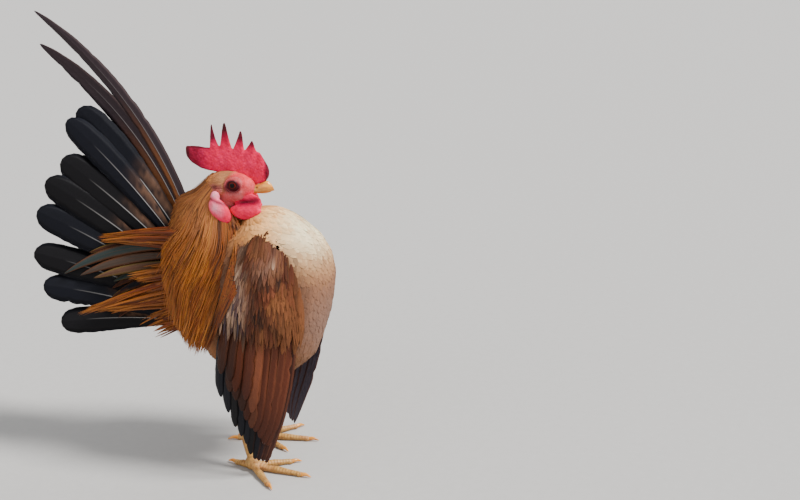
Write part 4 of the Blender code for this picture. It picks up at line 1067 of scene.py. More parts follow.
def build_wing(side, sizes):
    """One hanging wing: primaries, secondaries and the rows of coverts over their roots."""
    sign, chooser = SIDES[side], np.random.default_rng(41 + (side == "left"))
    made_pieces = []
    for name, count, first, last, root, tip, rise, power, wide, out_root, out_tip, table, k in WING_TIERS:
        t = np.linspace(0, 1, count)
        flight = k > 15
        ragged, askew, parted = (0.8, 0.0, 0.3) if flight else (3.0, 0.02, 0.2)
        share = mix(first, last, t) + chooser.normal(0, 0.015, count)
        end = tip + rise * t**power + chooser.normal(0, ragged, count)
        if name == "primaries":
            end = np.maximum(end, 8.2)
        stops = np.linspace(0, 1, k + 1) ** 0.9
        stops = np.append(stops[:-1] * 0.99 / stops[-2], 1)
        height = mix(np.full((count, 1), float(root)), end[:, None], stops)
        spread = share[:, None] + chooser.normal(0, askew, (count, 1)) * stops
        spines = wing_spot(side, height, spread, mix(out_root, out_tip, stops))
        outs = wing_facing(side, height, spread)[:, :-1]
        shape = widths_at(stops[:-1], table) * wide * np.ones((count, 1))
        left, right = (nicked(shape, chooser, 0.1, parted) for _ in range(2))
        tint, finish_name = wing_tint(name, spines, t, chooser)
        uv = skin_uv(spines[:, 0], f"wing_{side}")
        made = feathers(f"wing_{side}_{name}", VANE_SECTION, spines, outs, left, right, 0.16, tint, uv,
                        camber=0.1, shaft=np.linspace(0.4, 0.06, k))
        finish(made, f"wing_{side}_{name}", MATERIALS[finish_name], (f"wing_{side}",))
        made_pieces.append(made)
    n = sizes.shoulder_feathers
    x, height = chooser.uniform(-26, 42, n), chooser.uniform(106, 151, n)
    inside = np.abs(on_sheet(side, x, height)[:, 0] - x) < 0.5
    x, height = x[inside], height[inside]
    order = scatter(on_sheet(side, x, height), np.interp(height, (106, 151), (1.9, 1.35)), chooser)
    x, height = x[order], height[order]
    n = len(order)
    stops = np.array((0, 0.2, 0.45, 0.7, 0.88, 0.97, 1))
    length = np.interp(height, (106, 151), (20, 11)) * chooser.uniform(0.75, 1.2, n)
    levels = height[:, None] - length[:, None] * stops
    drift = (x - 9) * np.interp(height, (115, 150), (0.02, 0.3)) + chooser.normal(0, 0.9, n)
    lift = np.interp(height, (106, 151), (2.6, 0.6))[:, None]
    lift = lift + mix(-0.5, 1.2, stops) * chooser.uniform(0.7, 1.5, (n, 1))
    ahead = x[:, None] + drift[:, None] * stops
    spines = on_sheet(side, ahead, levels, lift)
    spines = clear_sideways(spines, [sign] * n, MADE["skin_tree"], 1.6, 0.5)
    outs = np.stack([(ahead - 12) / 30, np.full(ahead.shape, sign), np.full(ahead.shape, 0.15)], axis=-1)
    outs = outs[:, :-1]
    shape = np.array((0.4, 0.8, 1, 0.85, 0.5, 0.2)) * chooser.uniform(0.8, 1.7, (n, 1))
    left, right = (nicked(shape, chooser, 0.2, 0.3) for _ in range(2))
    tint, finish_name = wing_tint("shoulder", spines, x, chooser)
    uv = skin_uv(spines[:, 0], f"wing_{side}")
    name = f"wing_{side}_shoulder"
    made = feathers(name, VANE_SECTION[::2], spines, outs, left, right, 0.1, tint, uv, camber=0.12,
                    shaft=0.04, guide=outs, guide_share=0.7)
    finish(made, name, MATERIALS[finish_name], (f"wing_{side}",))
    made_pieces.append(made)
    MADE[f"wing_{side}"] = made_pieces


def spot(places, x, z, wide, high):
    """A soft round patch seen from the side, as a share from 0 to 1."""
    return np.exp(-(((places[:, 0] - x) / wide) ** 2 + ((places[:, 2] - z) / high) ** 2))


def wing_tint(tier, spines, t, chooser):
    """A tier's colours, and its finish: mottled russet above, brown secondaries and black primaries below."""
    n = len(spines)
    if tier == "primaries":
        base = blend(tones(("black", "sheen"), n, chooser), PALETTE["bay"], smooth(0.35 - t, 0, 0.35) * 0.4)
        edge = blend(base, PALETTE["bay_light"], smooth(0.6 - t, 0, 0.5) * 0.5)
        under = np.broadcast_to(PALETTE["slate"], base.shape)
        return tint_of(base, edge=edge, edge_from=0.75, under=under), "flight"
    if tier in ("secondaries", "tertials"):
        base = blend(tones(("bay", "bay_light", "russet"), n, chooser), PALETTE["umber"],
                     smooth(t, 0.2, 0.8) * 0.9)
        edge = blend(base, PALETTE["bay_light"], 0.55)
        under = np.broadcast_to(PALETTE["slate"], base.shape)
        return tint_of(base, base * 0.6, 0.5, edge, 0.6, base * 0.8, 0.3, under), "flight"
    middle = spines[:, 2]
    low = smooth(119 - middle[:, 2], 0, 16)
    cloud = 0.25 * low + waves(middle * (1, 0, 1), 7.5, 1.4) + 0.5 * waves(middle * (1, 0, 1), 3.2, 4.0)
    light = tones(("bay_light", "bay", "web"), n, chooser, 0.15)
    base = blend(light, tones(("umber", "bay"), n, chooser, 0.2), smooth(cloud, -0.1, 0.25))
    base = blend(base, PALETTE["flank"], smooth(-cloud, 0.1, 0.6) * 0.6)
    base = blend(base, PALETTE["flank"],
                 smooth(middle[:, 0], 18, 32) * smooth(126 - middle[:, 2], 0, 16) * 0.6)
    rear = smooth(8 - middle[:, 0], 0, 9) * smooth(138 - middle[:, 2], 0, 10)
    base = blend(base, tones(("cream", "slate", "cream"), n, chooser), rear * 0.75)
    for name, x, z, wide, high, share in WING_PATCHES:
        base = blend(base, PALETTE[name], spot(middle, x, z, wide, high) * share)
    base = base * (1 - 0.3 * low[:, None])
    tips = blend(base, PALETTE["flank"], chooser.uniform(0.0, 0.3, n))
    tips = blend(tips, PALETTE["cream"], spot(spines[:, 4], 19.5, 134.0, 1.8, 1.8) * 0.8)
    tips = blend(tips, PALETTE["black"], spot(spines[:, 4], 23, 129, 2.2, 2.2) * 0.9)
    return tint_of(base, tips, 0.6, blend(base, PALETTE["flank"], 0.15), 0.55, base * 0.85, 0.4), "covert"


def build_tail(side, sizes):
    """Half the tail: eight broad feathers from the top down, small curved coverts and one long sickle."""
    sign, chooser = SIDES[side], np.random.default_rng(61 + (side == "left"))
    back, level, lean, length, wide = np.array(TAIL_FEATHERS).T
    lean = lean + (0 if sign < 0 else 4.5)
    order = np.arange(len(lean))
    k = 34
    stops = np.append(np.linspace(0, 0.992, k), 1)
    root = np.stack([back, (2.4 + 0.7 * order) * sign, level], axis=-1)
    angle = np.radians(lean)
    heading = unit(np.stack([np.cos(angle), (0.02 + 0.045 * order) * sign, np.sin(angle)], axis=-1))
    spines = on_arc(root, heading, np.full(len(lean), 14.0), length, stops)
    outs = edge_on(spines, sign, 0.36)
    shape = widths_at(stops[:-1], FAN_WIDTHS) * wide[:, None]
    left, right = (nicked(shape, chooser, 0.08, 0.1) for _ in range(2))
    black = tones(("black", "sheen"), len(lean), chooser, 0.15)

    def fan_tint(along, across, beneath):
        """Black vanes, mottled brown on the upper web towards the root."""
        shift = order[:, None, None]
        stripe = np.sin(along * 61 + across * 5 + shift * 2.1) * np.sin(along * 23 + shift)
        brown = smooth(0.6 - along, 0, 0.22) * smooth(-across * sign, -0.1, 0.5) * (0.55 + 0.45 * stripe)
        made = np.broadcast_to(black[:, None, None], along.shape + (3,))
        return blend(made, blend(PALETTE["web"], PALETTE["cream"], 0.25), brown * 0.75)

    uv = skin_uv(spines[:, 8], f"tail_{side}")
    made = feathers(f"tail_{side}_fan", VANE_SECTION, spines, outs, left, right, 0.15, fan_tint, uv,
                    camber=0.08, shaft=np.linspace(0.6, 0.06, k))
    finish(made, f"tail_{side}_fan", MATERIALS["tail"], (f"tail_{side}",))
    MADE[f"fan_{side}"] = tree_of(made)

    n = sizes.tail_coverts
    stops = np.append(np.linspace(0, 0.98, 18), 1)
    pick = np.linspace(0, 1, n)
    angle = np.radians(mix(150, 192, pick) + chooser.normal(0, 3, n))
    heading = np.stack([np.cos(angle), np.full(n, 0.08 * sign), np.sin(angle)], axis=-1)
    ahead, aside = chooser.uniform(-4, 3, n), chooser.uniform(8, 12, n) * sign
    root = np.array((-46.0, 0, 0)) + np.stack([ahead, aside, mix(134, 116, pick)], axis=-1)
    length = mix(60.0, 48.0, pick) * chooser.uniform(0.6, 1.0, n)
    bend = mix(40.0, 30.0, pick)
    wide = chooser.uniform(2.4, 3.4, n)
    # The three long ones stand out from the rest.
    long = [n // 4, n // 2, 3 * n // 4]
    root[long] = np.stack([np.full(3, -47.0), np.full(3, 13.0) * sign, (135.5, 130.5, 125.5)], axis=-1)
    heading[long] = np.stack([np.full(3, -1.0), (0.16 * sign, 0.2 * sign, 0.24 * sign), (0.11, 0.05, 0.0)],
                             axis=-1)
    length[long], bend[long], wide[long] = (77, 66, 56), (40, 30, 20), (3.6, 3.2, 2.8)
    spines = on_arc(root, unit(heading), bend, length, stops)
    spines = clear_sideways(spines, [sign] * n, MADE[f"fan_{side}"], 1.2, 2.5)
    outs = edge_on(spines, sign, 0.25)
    table = ((0, 0.4), (0.25, 0.8), (0.5, 1), (0.75, 0.8), (0.9, 0.45), (0.98, 0.14))
    shape = widths_at(stops[:-1], table) * wide[:, None]
    base = tones(("green", "black", "umber", "sheen"), n, chooser)
    base[long] = [mix(PALETTE["green"], PALETTE["web"], share) for share in (0, 0.25, 0.5)]
    edge = tones(("fringe", "web"), n, chooser)
    tint = tint_of(base, edge=edge, edge_from=0.5, root=base * 0.7)
    uv = skin_uv(spines[:, 3], f"tail_{side}")
    made = feathers(f"tail_{side}_coverts", VANE_SECTION, spines, outs, shape, shape, 0.15, tint, uv,
                    camber=0.12, shaft=0.12)
    finish(made, f"tail_{side}_coverts", MATERIALS["covert"], (f"tail_{side}",))

    (x, y, z), lean, length, wide = SICKLES[side]
    k = 60
    stops = np.append(np.linspace(0, 0.99, k), 1)
    angle = math.radians(lean)
    heading = unit(np.array([[math.cos(angle), 0.02 * sign, math.sin(angle)]]))
    spines = on_arc(np.array([[x, y * sign, z]], float), heading, np.array([46.0]),
                    np.array([float(length)]), stops)
    outs = edge_on(spines, sign, 0.0)
    shape = widths_at(stops[:-1], SICKLE_WIDTHS)[None] * wide
    left, right = (nicked(shape, chooser, 0.07, 0.1) for _ in range(2))

    def sickle_tint(along, across, beneath):
        lower = smooth(across * sign, -0.1, 0.3) * smooth(0.66 - along, 0, 0.4) * smooth(along, 0.04, 0.12)
        upper = smooth(-across * sign, 0.6, 1.0) * 0.1
        grey = mix(PALETTE["black"], PALETTE["slate"], 0.3)
        dark = mix(grey, PALETTE["web"], 0.08) * np.ones(along.shape + (3,))
        return blend(dark, mix(PALETTE["web"], PALETTE["flank"], 0.6), np.maximum(lower, upper))

    uv = skin_uv(spines[:, 6], f"tail_{side}")
    made = feathers(f"sickle_{side}", VANE_SECTION, spines, outs, left, right, 0.25, sickle_tint, uv,
                    camber=0.14, shaft=np.linspace(0.8, 0.1, k))
    finish(made, f"sickle_{side}_feather", MATERIALS["tail"], (f"sickle_{side}",))


def edge_on(spines, sign, tilt):
    """Outward ways for upright feathers whose broad face looks sideways, tipped so that they overlap."""
    ahead = unit(spines[:, 1:] - spines[:, :-1])
    lower = np.stack([-ahead[..., 2], 0 * ahead[..., 0], ahead[..., 0]], axis=-1)
    return np.array((0, sign, 0)) - lower * tilt


def build_comb(sizes):
    """The single comb: a fleshy blade with a free lobe behind, four long points and a low front."""

    def blade(along, turn):
        x = mix(COMB_TOP[0, 0], COMB_TOP[-1, 0], along)
        low, high = np.interp(x, *COMB_FOOT.T), np.interp(x, *COMB_TOP.T)
        share = (1 + np.cos(turn)) / 2
        height = mix(low, high, share)
        thick = np.interp(height - np.interp(x, *COMB_VALLEY.T), (-16, -4, 0, 6, 14),
                          (2.5, 1.7, 1.35, 1.0, 0.6))
        thick = thick * smooth(np.sin(math.pi * along), 0, 0.05)
        return np.stack([x, -thick * np.sin(turn), height], axis=-1)

    comb = formed(blade, 56, 320)
    fuse(comb, 0.3 * MM, 4)
    places = places_of(comb)
    side = np.sign(places[:, 1])
    places[:, 1] += side * (waves(places, 1.5, 0.5) * 0.16 + waves(places, 0.75, 3.0) * 0.1)
    above = places[:, 2] - np.interp(places[:, 0], *COMB_VALLEY.T)
    places[:, 1] += waves(places * (1, 0, 1), 8.0, 2.0) * 0.5 * smooth(above, -12, 4)
    move_points(comb, places)
    x, _, z = places.T
    top, foot = np.interp(x, *COMB_TOP.T), np.interp(x, *COMB_FOOT.T)
    rim = smooth(1.6 - np.abs(top - z), 0, 1.6) + smooth(1.4 - np.abs(z - foot), 0, 1.4)
    tall = np.interp(x, (-30, -22, -12, -5), (13, 14, 10, 6))
    dark = smooth(above / tall, 0.05, 0.95) * 0.95 + smooth(-x, 29, 41) * 0.7 + smooth(x, 2.2, 4.6) * 0.85
    dark = dark + rim * 0.5 * np.maximum(smooth(-x, 26, 34), smooth(x, -2, 1.5))
    dark = dark + smooth(-x, 43.5, 47) * 0.5
    dark = dark + smooth(-x, 25, 29) * smooth(above, 1, 7) * 0.5
    tint = blend(PALETTE["comb"], PALETTE["comb_pale"], smooth(waves(places, 5, 1.5), -0.2, 0.9) * 0.5)
    tint = blend(tint, PALETTE["maroon"], np.clip(dark, 0, 0.9))
    tips = smooth(above, 8, 15) * 0.7 + smooth(-x, 44, 47) * 0.4
    give(comb, "Tint", blend(tint, PALETTE["umber"] * 0.4, tips))
    finish(comb, "comb_flesh", MATERIALS["comb"], ("comb",))


def leaned(places, centre, lean, axis):
    """Places turned about a centre by degrees round X or Y."""
    a = math.radians(lean)
    c, s = math.cos(a), math.sin(a)
    x, y, z = (places - centre).T
    turned = (x, y * c - z * s, y * s + z * c) if axis == "X" else (x * c + z * s, y, z * c - x * s)
    return np.stack(turned, axis=-1) + centre


def build_wattles(sizes):
    """Wattles and ear lobes: soft hanging folds on either side of the throat."""
    for side, sign in SIDES.items():
        back = 0 if sign < 0 else -5.5
        flap = ball((-6.0 + back, 6.6 * sign, 163.6), (8.6, 1.5, 6.2), 48, 32)
        fold = ball((-6.8 + back, 8.8 * sign, 159.4), (10.1, 2.6, 4.0), 48, 32)
        front = ball((-0.4 + back, 6.9 * sign, 162.6), (3.0, 1.5, 5.6), 32, 20)
        corner = ball((-7 + back, 5.4 * sign, 167), (5.5, 1.5, 3.4), 32, 20)
        wattle = join([flap, fold, front, corner])
        fuse(wattle, 0.33 * MM, 8)
        places = leaned(places_of(wattle), np.array((-6.5, 6.6 * sign, 160.8)), 8 * sign, "X")
        x, _, z = places.T
        places[:, 2] -= smooth(161 - z, 0, 4) * (1.4 - 2.4 * ((x + 7.5 - back) / 10) ** 2)
        hollow = np.exp(-(((x + 5.5 - back) / 8) ** 4 + ((z - 164.8 - 0.14 * (x + 5)) / 2.3) ** 2))
        places[:, 1] -= sign * hollow * 1.1
        places[:, 1] += sign * (waves(places, 1.6, 0.7) * 0.18 + waves(places, 4.2, 1.2) * 0.35)
        move_points(wattle, places)
        z = places[:, 2]
        tint = blend(PALETTE["wattle"], PALETTE["comb_pale"], smooth(waves(places, 4), -0.2, 0.8) * 0.5)
        # Maroon in the hollow under the face is painted shade.
        tint = blend(tint, PALETTE["maroon"], hollow * 0.85)
        give(wattle, "Tint", blend(tint, PALETTE["maroon"], smooth(155.4 - z, 0, 1.6) * 0.45))
        finish(wattle, f"wattle_{side}_flesh", MATERIALS["comb"], (f"wattle_{side}",))

        middle = np.array((-21.2, 13.8 * sign, 159.9))
        low = ball(middle, (5.6, 3.0, 8.8), 48, 32)
        move_points(low, leaned(places_of(low), middle, -39, "Y"))
        lobe = join([low, ball((-24.6, 12.4 * sign, 168.2), (2.9, 2.4, 3.4), 32, 20)])
        fuse(lobe, 0.33 * MM, 8)
        places = places_of(lobe)
        places[:, 1] += sign * (waves(places, 1.5, 0.3) * 0.14 + waves(places, 3.3, 2.2) * 0.25)
        move_points(lobe, places)
        flat = leaned(places, middle, 39, "Y") - middle
        off = np.hypot(flat[:, 0] / 5.6, flat[:, 2] / 8.8)
        z = places[:, 2]
        red = smooth(off - 0.06 * flat[:, 2], 0.1, 1.0) * smooth(168 - z, 0, 2)
        tint = blend(PALETTE["lobe"], PALETTE["wattle"], 0.12 + red * 0.83)
        # Painted highlights: white glints on the two bulbs.
        light = spot(places, -23.5, 162.5, 2.2, 2.0) + spot(places, -24.6, 169.5, 1.5, 1.5)
        tint = blend(tint, np.ones(3), np.clip(light, 0, 1) * 0.28)
        # Maroon along the crease between the two bulbs is painted shade; the lobe is also darker round its
        # lower rim.
        crease = np.exp(-(((z - 166.0 + 0.3 * (places[:, 0] + 23)) / 0.9) ** 2))
        crease = crease + smooth(off, 0.92, 1.1) * smooth(165 - z, 0, 2)
        give(lobe, "Tint", blend(tint, PALETTE["maroon"], np.clip(crease * 0.7, 0, 1)))
        finish(lobe, f"lobe_{side}_flesh", MATERIALS["lobe"], (f"lobe_{side}",))


def build_beak(sizes):
    """Both halves of the beak, with the nostrils and the hooked tip."""
    rows = np.array((
        (-11.5, 175.4, 170.3, 167.4, 4.6), (-9, 175.5, 170.5, 167.8, 4.4), (-5, 173.9, 170.9, 168.6, 4.0),
        (-2, 174.3, 171.2, 169.2, 3.5), (1, 175.7, 171.4, 169.2, 3.1), (3.4, 176.8, 171.6, 169.4, 2.7),
        (5.0, 176.6, 171.6, 169.8, 2.3), (6.6, 175.2, 171.5, 170.4, 1.6), (7.8, 173.4, 171.3, 171.0, 0.8),
    ))
    for part, tip_x, tip_z in (("upper", 8.8, 171.2), ("lower", 7.2, 171.1)):
        upper = part == "upper"
        closed = rows[0] * (1, 0, 0, 0, 0) + (-0.6, 171.5, 171.5, 171.5, 0)
        table = np.vstack([closed, rows[: 9 if upper else 8], (tip_x, tip_z, tip_z, tip_z, 0)])

        def half(along, turn, table=table, upper=upper):
            t = (1 - np.cos(math.pi * along)) / 2
            x = mix(table[0, 0], table[-1, 0], t)
            top, mouth, under, wide = read(table, x)
            arch = np.maximum(np.cos(turn), 0) ** 0.85
            flat = np.maximum(-np.cos(turn), 0) ** 0.5 * np.minimum(wide, 0.9) * 0.6
            if upper:
                z = mouth + 0.12 + (top - mouth) * arch - flat
            else:
                z = mouth - 0.12 - (mouth - under) * arch + flat
            return np.stack([x, wide * np.sin(turn) * (1 if upper else -1), z], axis=-1)

        made = formed(half, 64, 72)
        places = places_of(made)
        x, y, z = places.T
        pit = np.zeros(len(places))
        if upper:
            nostril = np.stack([x * 0 - 1.8, np.sign(y) * 2.9, x * 0 + 173], axis=-1)
            away = np.linalg.norm((places - nostril) / (1.25, 1, 0.75), axis=1)
            pit = np.exp(-((away / 0.75) ** 2))
            places[:, 1] -= np.sign(y) * pit * 0.9
            cere = smooth(-x, 1, 5) * 0.25
            places[:, 2] += cere * smooth(z, 172, 175)
            move_points(made, places)
        tint = blend(PALETTE["ivory"], PALETTE["amber"], smooth(174.4 - z, 0, 2.4) * 0.75)
        tint = blend(tint, PALETTE["face"], smooth(-x, 4.5, 8) * 0.7)
        # The nostril pits are darkened as painted shade.
        give(made, "Tint", blend(tint, PALETTE["umber"] * 0.4, pit))
        finish(made, f"beak_{part}_horn", MATERIALS["beak"], (f"beak_{part}",))


def build_eyes(sizes):
    """Eyeballs with a bulging cornea, and the finely wrinkled lids round them."""
    for side, sign in SIDES.items():
        centre = EYE * (1, sign, 1)
        look = unit(np.array((0.12, sign, 0.03)))
        eye = ball(centre, (EYE_RADIUS - 0.05,) * 3, 64, 48)
        places = places_of(eye)
        ray = unit(places - centre)
        facing = np.sum(ray * look, axis=1)
        away = np.arccos(np.clip(facing, -1, 1)) * EYE_RADIUS
        places = centre + ray * (EYE_RADIUS - 0.1 + 0.35 * smooth(3.2 - away, 0, 1.6))[:, None]
        move_points(eye, places)
        give(eye, "away", away)
        side_ways = np.cross(look, (0, 0, 1))
        up_ways = np.cross(side_ways, look)
        give(eye, "spoke", np.arctan2(ray @ up_ways, ray @ side_ways))
        finish(eye, f"eye_{side}_ball", MATERIALS["eye"], (f"eye_{side}",))

        clear_selection()
        bpy.ops.mesh.primitive_torus_add(major_segments=96, minor_segments=32, major_radius=3.6,
                                         minor_radius=1.5)
        lid = bpy.context.object
        a, b, c = raw_points(lid).T
        turn = np.arctan2(b, a)
        crease = 1 + 0.03 * np.sin(turn * 23 + c * 3) + 0.02 * np.sin(turn * 41)
        a, b = a * crease * 1.05, b * crease * 0.9
        radius = np.hypot(a, b)
        out = np.sqrt(np.maximum(4.45**2 - radius**2, 0.2)) + c * 0.3
        places = centre + a[:, None] * side_ways + b[:, None] * up_ways + out[:, None] * look
        for i in np.nonzero(radius > 3.4)[0]:
            x, _, z = places[i]
            hit = MADE["skin_tree"].ray_cast(Vector((x, 30 * sign, z)), Vector((0, -sign, 0)), 30)[0]
            places[i, 1] = mix(places[i, 1], hit.y + 0.25 * c[i] * sign, float(smooth(radius[i], 3.6, 4.8)))
        move_points(lid, places)
        turn_out(lid)
        # Painted shade round the eye: the lid is maroon near the eye and more so below it, rosy further out,
        # and dark brown at its inner rim.
        inner = smooth(3.1 - radius, 0, 0.9)
        rosy = mix(PALETTE["cheek"], PALETTE["face_pale"], 0.35) * 0.75
        tint = blend(PALETTE["maroon"], rosy, smooth(radius + 0.3 * b, 3.4, 5.6))
        give(lid, "Tint", blend(tint, PALETTE["umber"] * 0.3, inner))
        finish(lid, f"lid_{side}", MATERIALS["skin"])


def tube(path, radii, segments=24, rings=None):
    """A closed round tube along a path, formed from a ball."""
    path, radii = np.asarray(path, float), np.asarray(radii, float)
    reach = np.append(0, np.cumsum(np.linalg.norm(np.diff(path, axis=0), axis=1)))
    reach /= reach[-1]

    def shape(along, turn):
        t = (1 - np.cos(math.pi * along)) / 2
        place = np.stack([np.interp(t, reach, column) for column in path.T], axis=-1)
        ahead = np.stack([np.interp(t + 0.01, reach, c) - np.interp(t - 0.01, reach, c) for c in path.T],
                         axis=-1)
        ahead = unit(ahead)
        first = unit(np.cross(ahead, (0.3, 1.0, 0.2)))
        second = np.cross(ahead, first)
        girth = np.interp(t, reach, radii) * np.sqrt(np.clip(1 - (2 * along - 1) ** 12, 0, 1))
        return place + first * (girth * np.cos(turn))[..., None] + second * (girth * np.sin(turn))[..., None]

    return formed(shape, segments, rings or max(16, 6 * len(path)))


def near_path(places, path):
    """How far along a path the nearest spot to each place lies, how far off it is, and which way."""
    path = np.asarray(path, float)
    best = np.full(len(places), 1e9)
    along, offset = np.zeros(len(places)), np.zeros_like(places)
    start = 0.0
    for a, b in zip(path[:-1], path[1:]):
        long = np.linalg.norm(b - a)
        t = np.clip((places - a) @ (b - a) / long**2, 0, 1)
        away = places - (a + t[:, None] * (b - a))
        gap = np.linalg.norm(away, axis=1)
        closer = gap < best
        best = np.where(closer, gap, best)
        along = np.where(closer, start + t * long, along)
        offset = np.where(closer[:, None], away, offset)
        start += long
    return along, best, offset


def toe_path(side, toe):
    """A toe's middle line over its joints, and the way it points."""
    dx, dy, length = TOES[toe]
    start = np.array((FOOT[side][0], FOOT[side][1] * SIDES[side], 0))
    heading = unit(np.array((dx, dy * SIDES[side], 0.0)))
    heights = ((0, 3.4), (0.3, 1.9), (0.52, 2.1), (0.76, 1.7), (1, 1.7))
    return [start + heading * length * t + (0, 0, z) for t, z in heights], heading


def build_leg(side, sizes):
    """A shank, foot and toes with their scutes, and the horn of the claws and spur."""
    sign = SIDES[side]
    hock, foot = (np.array(table[side], float) * (1, sign, 1) for table in (HOCK, FOOT))
    stops = ((-0.06, 2.6), (0, 3.3), (0.1, 3.3), (0.3, 2.6), (0.6, 2.5), (0.82, 2.9), (1, 3.0))
    shank_path = [mix(hock, foot, t) for t, _ in stops]
    toes = {toe: toe_path(side, toe) for toe in TOES}
    parts = [tube(shank_path, [r for _, r in stops], 32, 60), ball((foot[0], foot[1], 4.6), (4.8, 4.6, 4.9))]
    for path, heading in toes.values():
        parts.append(tube(path, (2.7, 2.0, 2.3, 1.8, 1.45), 24, 40))
        for pad in (path[2], path[4] - heading * 1.5):
            parts.append(ball(pad - (0, 0, 0.45), (2.2, 1.9, 1.65), 24, 16))
    leg = join(parts)
    fuse(leg, 0.36 * MM, 4)
    places = places_of(leg)
    front = unit(np.array((1.0, 0.15 * sign, 0.3)))
    best = np.full(len(places), 1e9)
    plates, pebbled, groove = np.zeros(len(places)), np.zeros(len(places)), np.zeros(len(places))
    way = np.zeros_like(places)
    scaled = [(shank_path, front, 2.3, 0.34)]
    scaled += [(path, np.array((0, 0, 1.0)), 1.9, 0.26) for path, _ in toes.values()]
    for path, top, step, deep in scaled:
        along, gap, offset = near_path(places, path)
        facing = unit(offset) @ top
        turn = np.arctan2(np.cross(unit(offset), top) @ unit(np.array(path[-1]) - path[0]), facing)
        shift = np.where(turn > 0, 0.5, 0.0) if step > 2 else 0.0
        saw = (along / step + shift) % 1
        arch = np.sin(np.clip(saw * 1.15, 0, 1) * math.pi) ** 0.5
        plate = (0.35 + 0.65 * arch) * smooth(facing, -0.15, 0.35)
        closer = gap < best
        best = np.where(closer, gap, best)
        plates = np.where(closer, plate * deep, plates)
        groove = np.where(closer, (1 - np.sin(saw * math.pi) ** 0.4) * smooth(facing, -0.1, 0.3), groove)
        pebbled = np.where(closer, 1 - smooth(facing, -0.25, 0.2), pebbled)
        way = np.where(closer[:, None], unit(offset), way)
    places = places + way * (plates - 0.12)[:, None]
    places[:, 2] = np.maximum(places[:, 2], 0.02)
    move_points(leg, places)
    tint = blend(PALETTE["leg"], PALETTE["leg_deep"], np.clip(groove * 0.9 + pebbled * 0.3, 0, 1))
    tint = blend(tint, PALETTE["leg_pink"], smooth(waves(places, 9), 0.0, 0.9) * (0.5 if sign > 0 else 0.25))
    give(leg, "Tint", tint)
    give(leg, "pebbled", pebbled)
    finish(leg, f"leg_{side}", MATERIALS["scutes"], (f"shank_{side}", f"foot_{side}"))

    claws = []
    for path, heading in toes.values():
        profile = ((-1.2, 0, 1.15), (0.8, 0.1, 1.2), (2.2, 0.3, 1.1), (3.4, 0.2, 0.92), (4.8, -0.3, 0.66),
                   (5.8, -0.7, 0.42), (6.4, -1.0, 0.16))
        points = [path[-1] + heading * ahead + (0, 0, up) for ahead, up, _ in profile]
        claws.append(tube(points, [r for _, _, r in profile], 20, 40))
    made = join(claws)
    places = places_of(made)
    places[:, 2] = np.maximum(places[:, 2], 0.05)
    move_points(made, places)
    give(made, "Tint", blend(PALETTE["ivory"], PALETTE["amber"], smooth(waves(places, 3), -0.5, 0.8) * 0.5))
    nodes = [f"claw_{side}_{toe}" for toe in TOES]
    finish(made, f"claws_{side}", MATERIALS["claw"], nodes)

    base = mix(hock, foot, 0.62)
    profile = ((1.0, 0.3, 0.3, 1.6), (0, 0, 0, 1.75), (-1.5, -1, -0.4, 1.5), (-3, -2, -0.5, 1.2),
               (-4.4, -2.8, -0.3, 0.8), (-5.8, -3.3, 0.1, 0.3))
    points = [base + np.array((x, y * sign, z)) for x, y, z, _ in profile]
    spur = tube(points, [r for *_, r in profile], 24, 40)
    give(spur, "Tint", blend(PALETTE["leg"], PALETTE["ivory"], 0.5) * np.ones((len(spur.data.vertices), 1)))
    finish(spur, f"spur_{side}_horn", MATERIALS["claw"], (f"spur_{side}",))


def build_stage(settings):
    """Pale floor, soft lights and the camera at the photograph's place."""
    clear_selection()
    bpy.ops.mesh.primitive_circle_add(vertices=128, radius=30.0, fill_type="NGON", location=(0, 0, 0))
    floor = bpy.context.object
    bpy.ops.object.mode_set(mode="EDIT")
    bpy.ops.mesh.inset(thickness=28)
    bpy.ops.object.mode_set(mode="OBJECT")
    floor.name = "studio_floor"
    floor.data.materials.append(MATERIALS["floor"])
    target = Vector((np.array(settings.target) / MM + STEP) * MM)
    for name, place, width, power in (
        ("key", (0.75, -0.05, 1.0), 20, 5.6), ("fill", (-0.3, -1.0, 0.4), 60, 0.8),
        ("rim", (0.2, 1.0, 0.6), 40, 0.8),
    ):
        clear_selection()
        bpy.ops.object.light_add(type="SUN", location=target + Vector(place))
        light = bpy.context.object
        light.name = name
        light.data.angle = math.radians(width)
        light.data.energy = power * settings.light
        light.rotation_euler = (-Vector(place)).to_track_quat("-Z", "Y").to_euler()
    world = bpy.data.worlds.new("studio")
    world.use_nodes = True
    world.node_tree.nodes["Background"].inputs["Color"].default_value = (0.92, 0.95, 1.0, 1)
    world.node_tree.nodes["Background"].inputs["Strength"].default_value = 0.6
    bpy.context.scene.world = world
    clear_selection()
    place = Vector((np.array(settings.camera) / MM + STEP) * MM)
    bpy.ops.object.camera_add(location=place, rotation=(target - place).to_track_quat("-Z", "Y").to_euler())
    camera = bpy.context.object
    camera.data.lens = settings.lens
    camera.data.sensor_width = 36
    camera.data.clip_start = 0.01
    bpy.context.scene.camera = camera


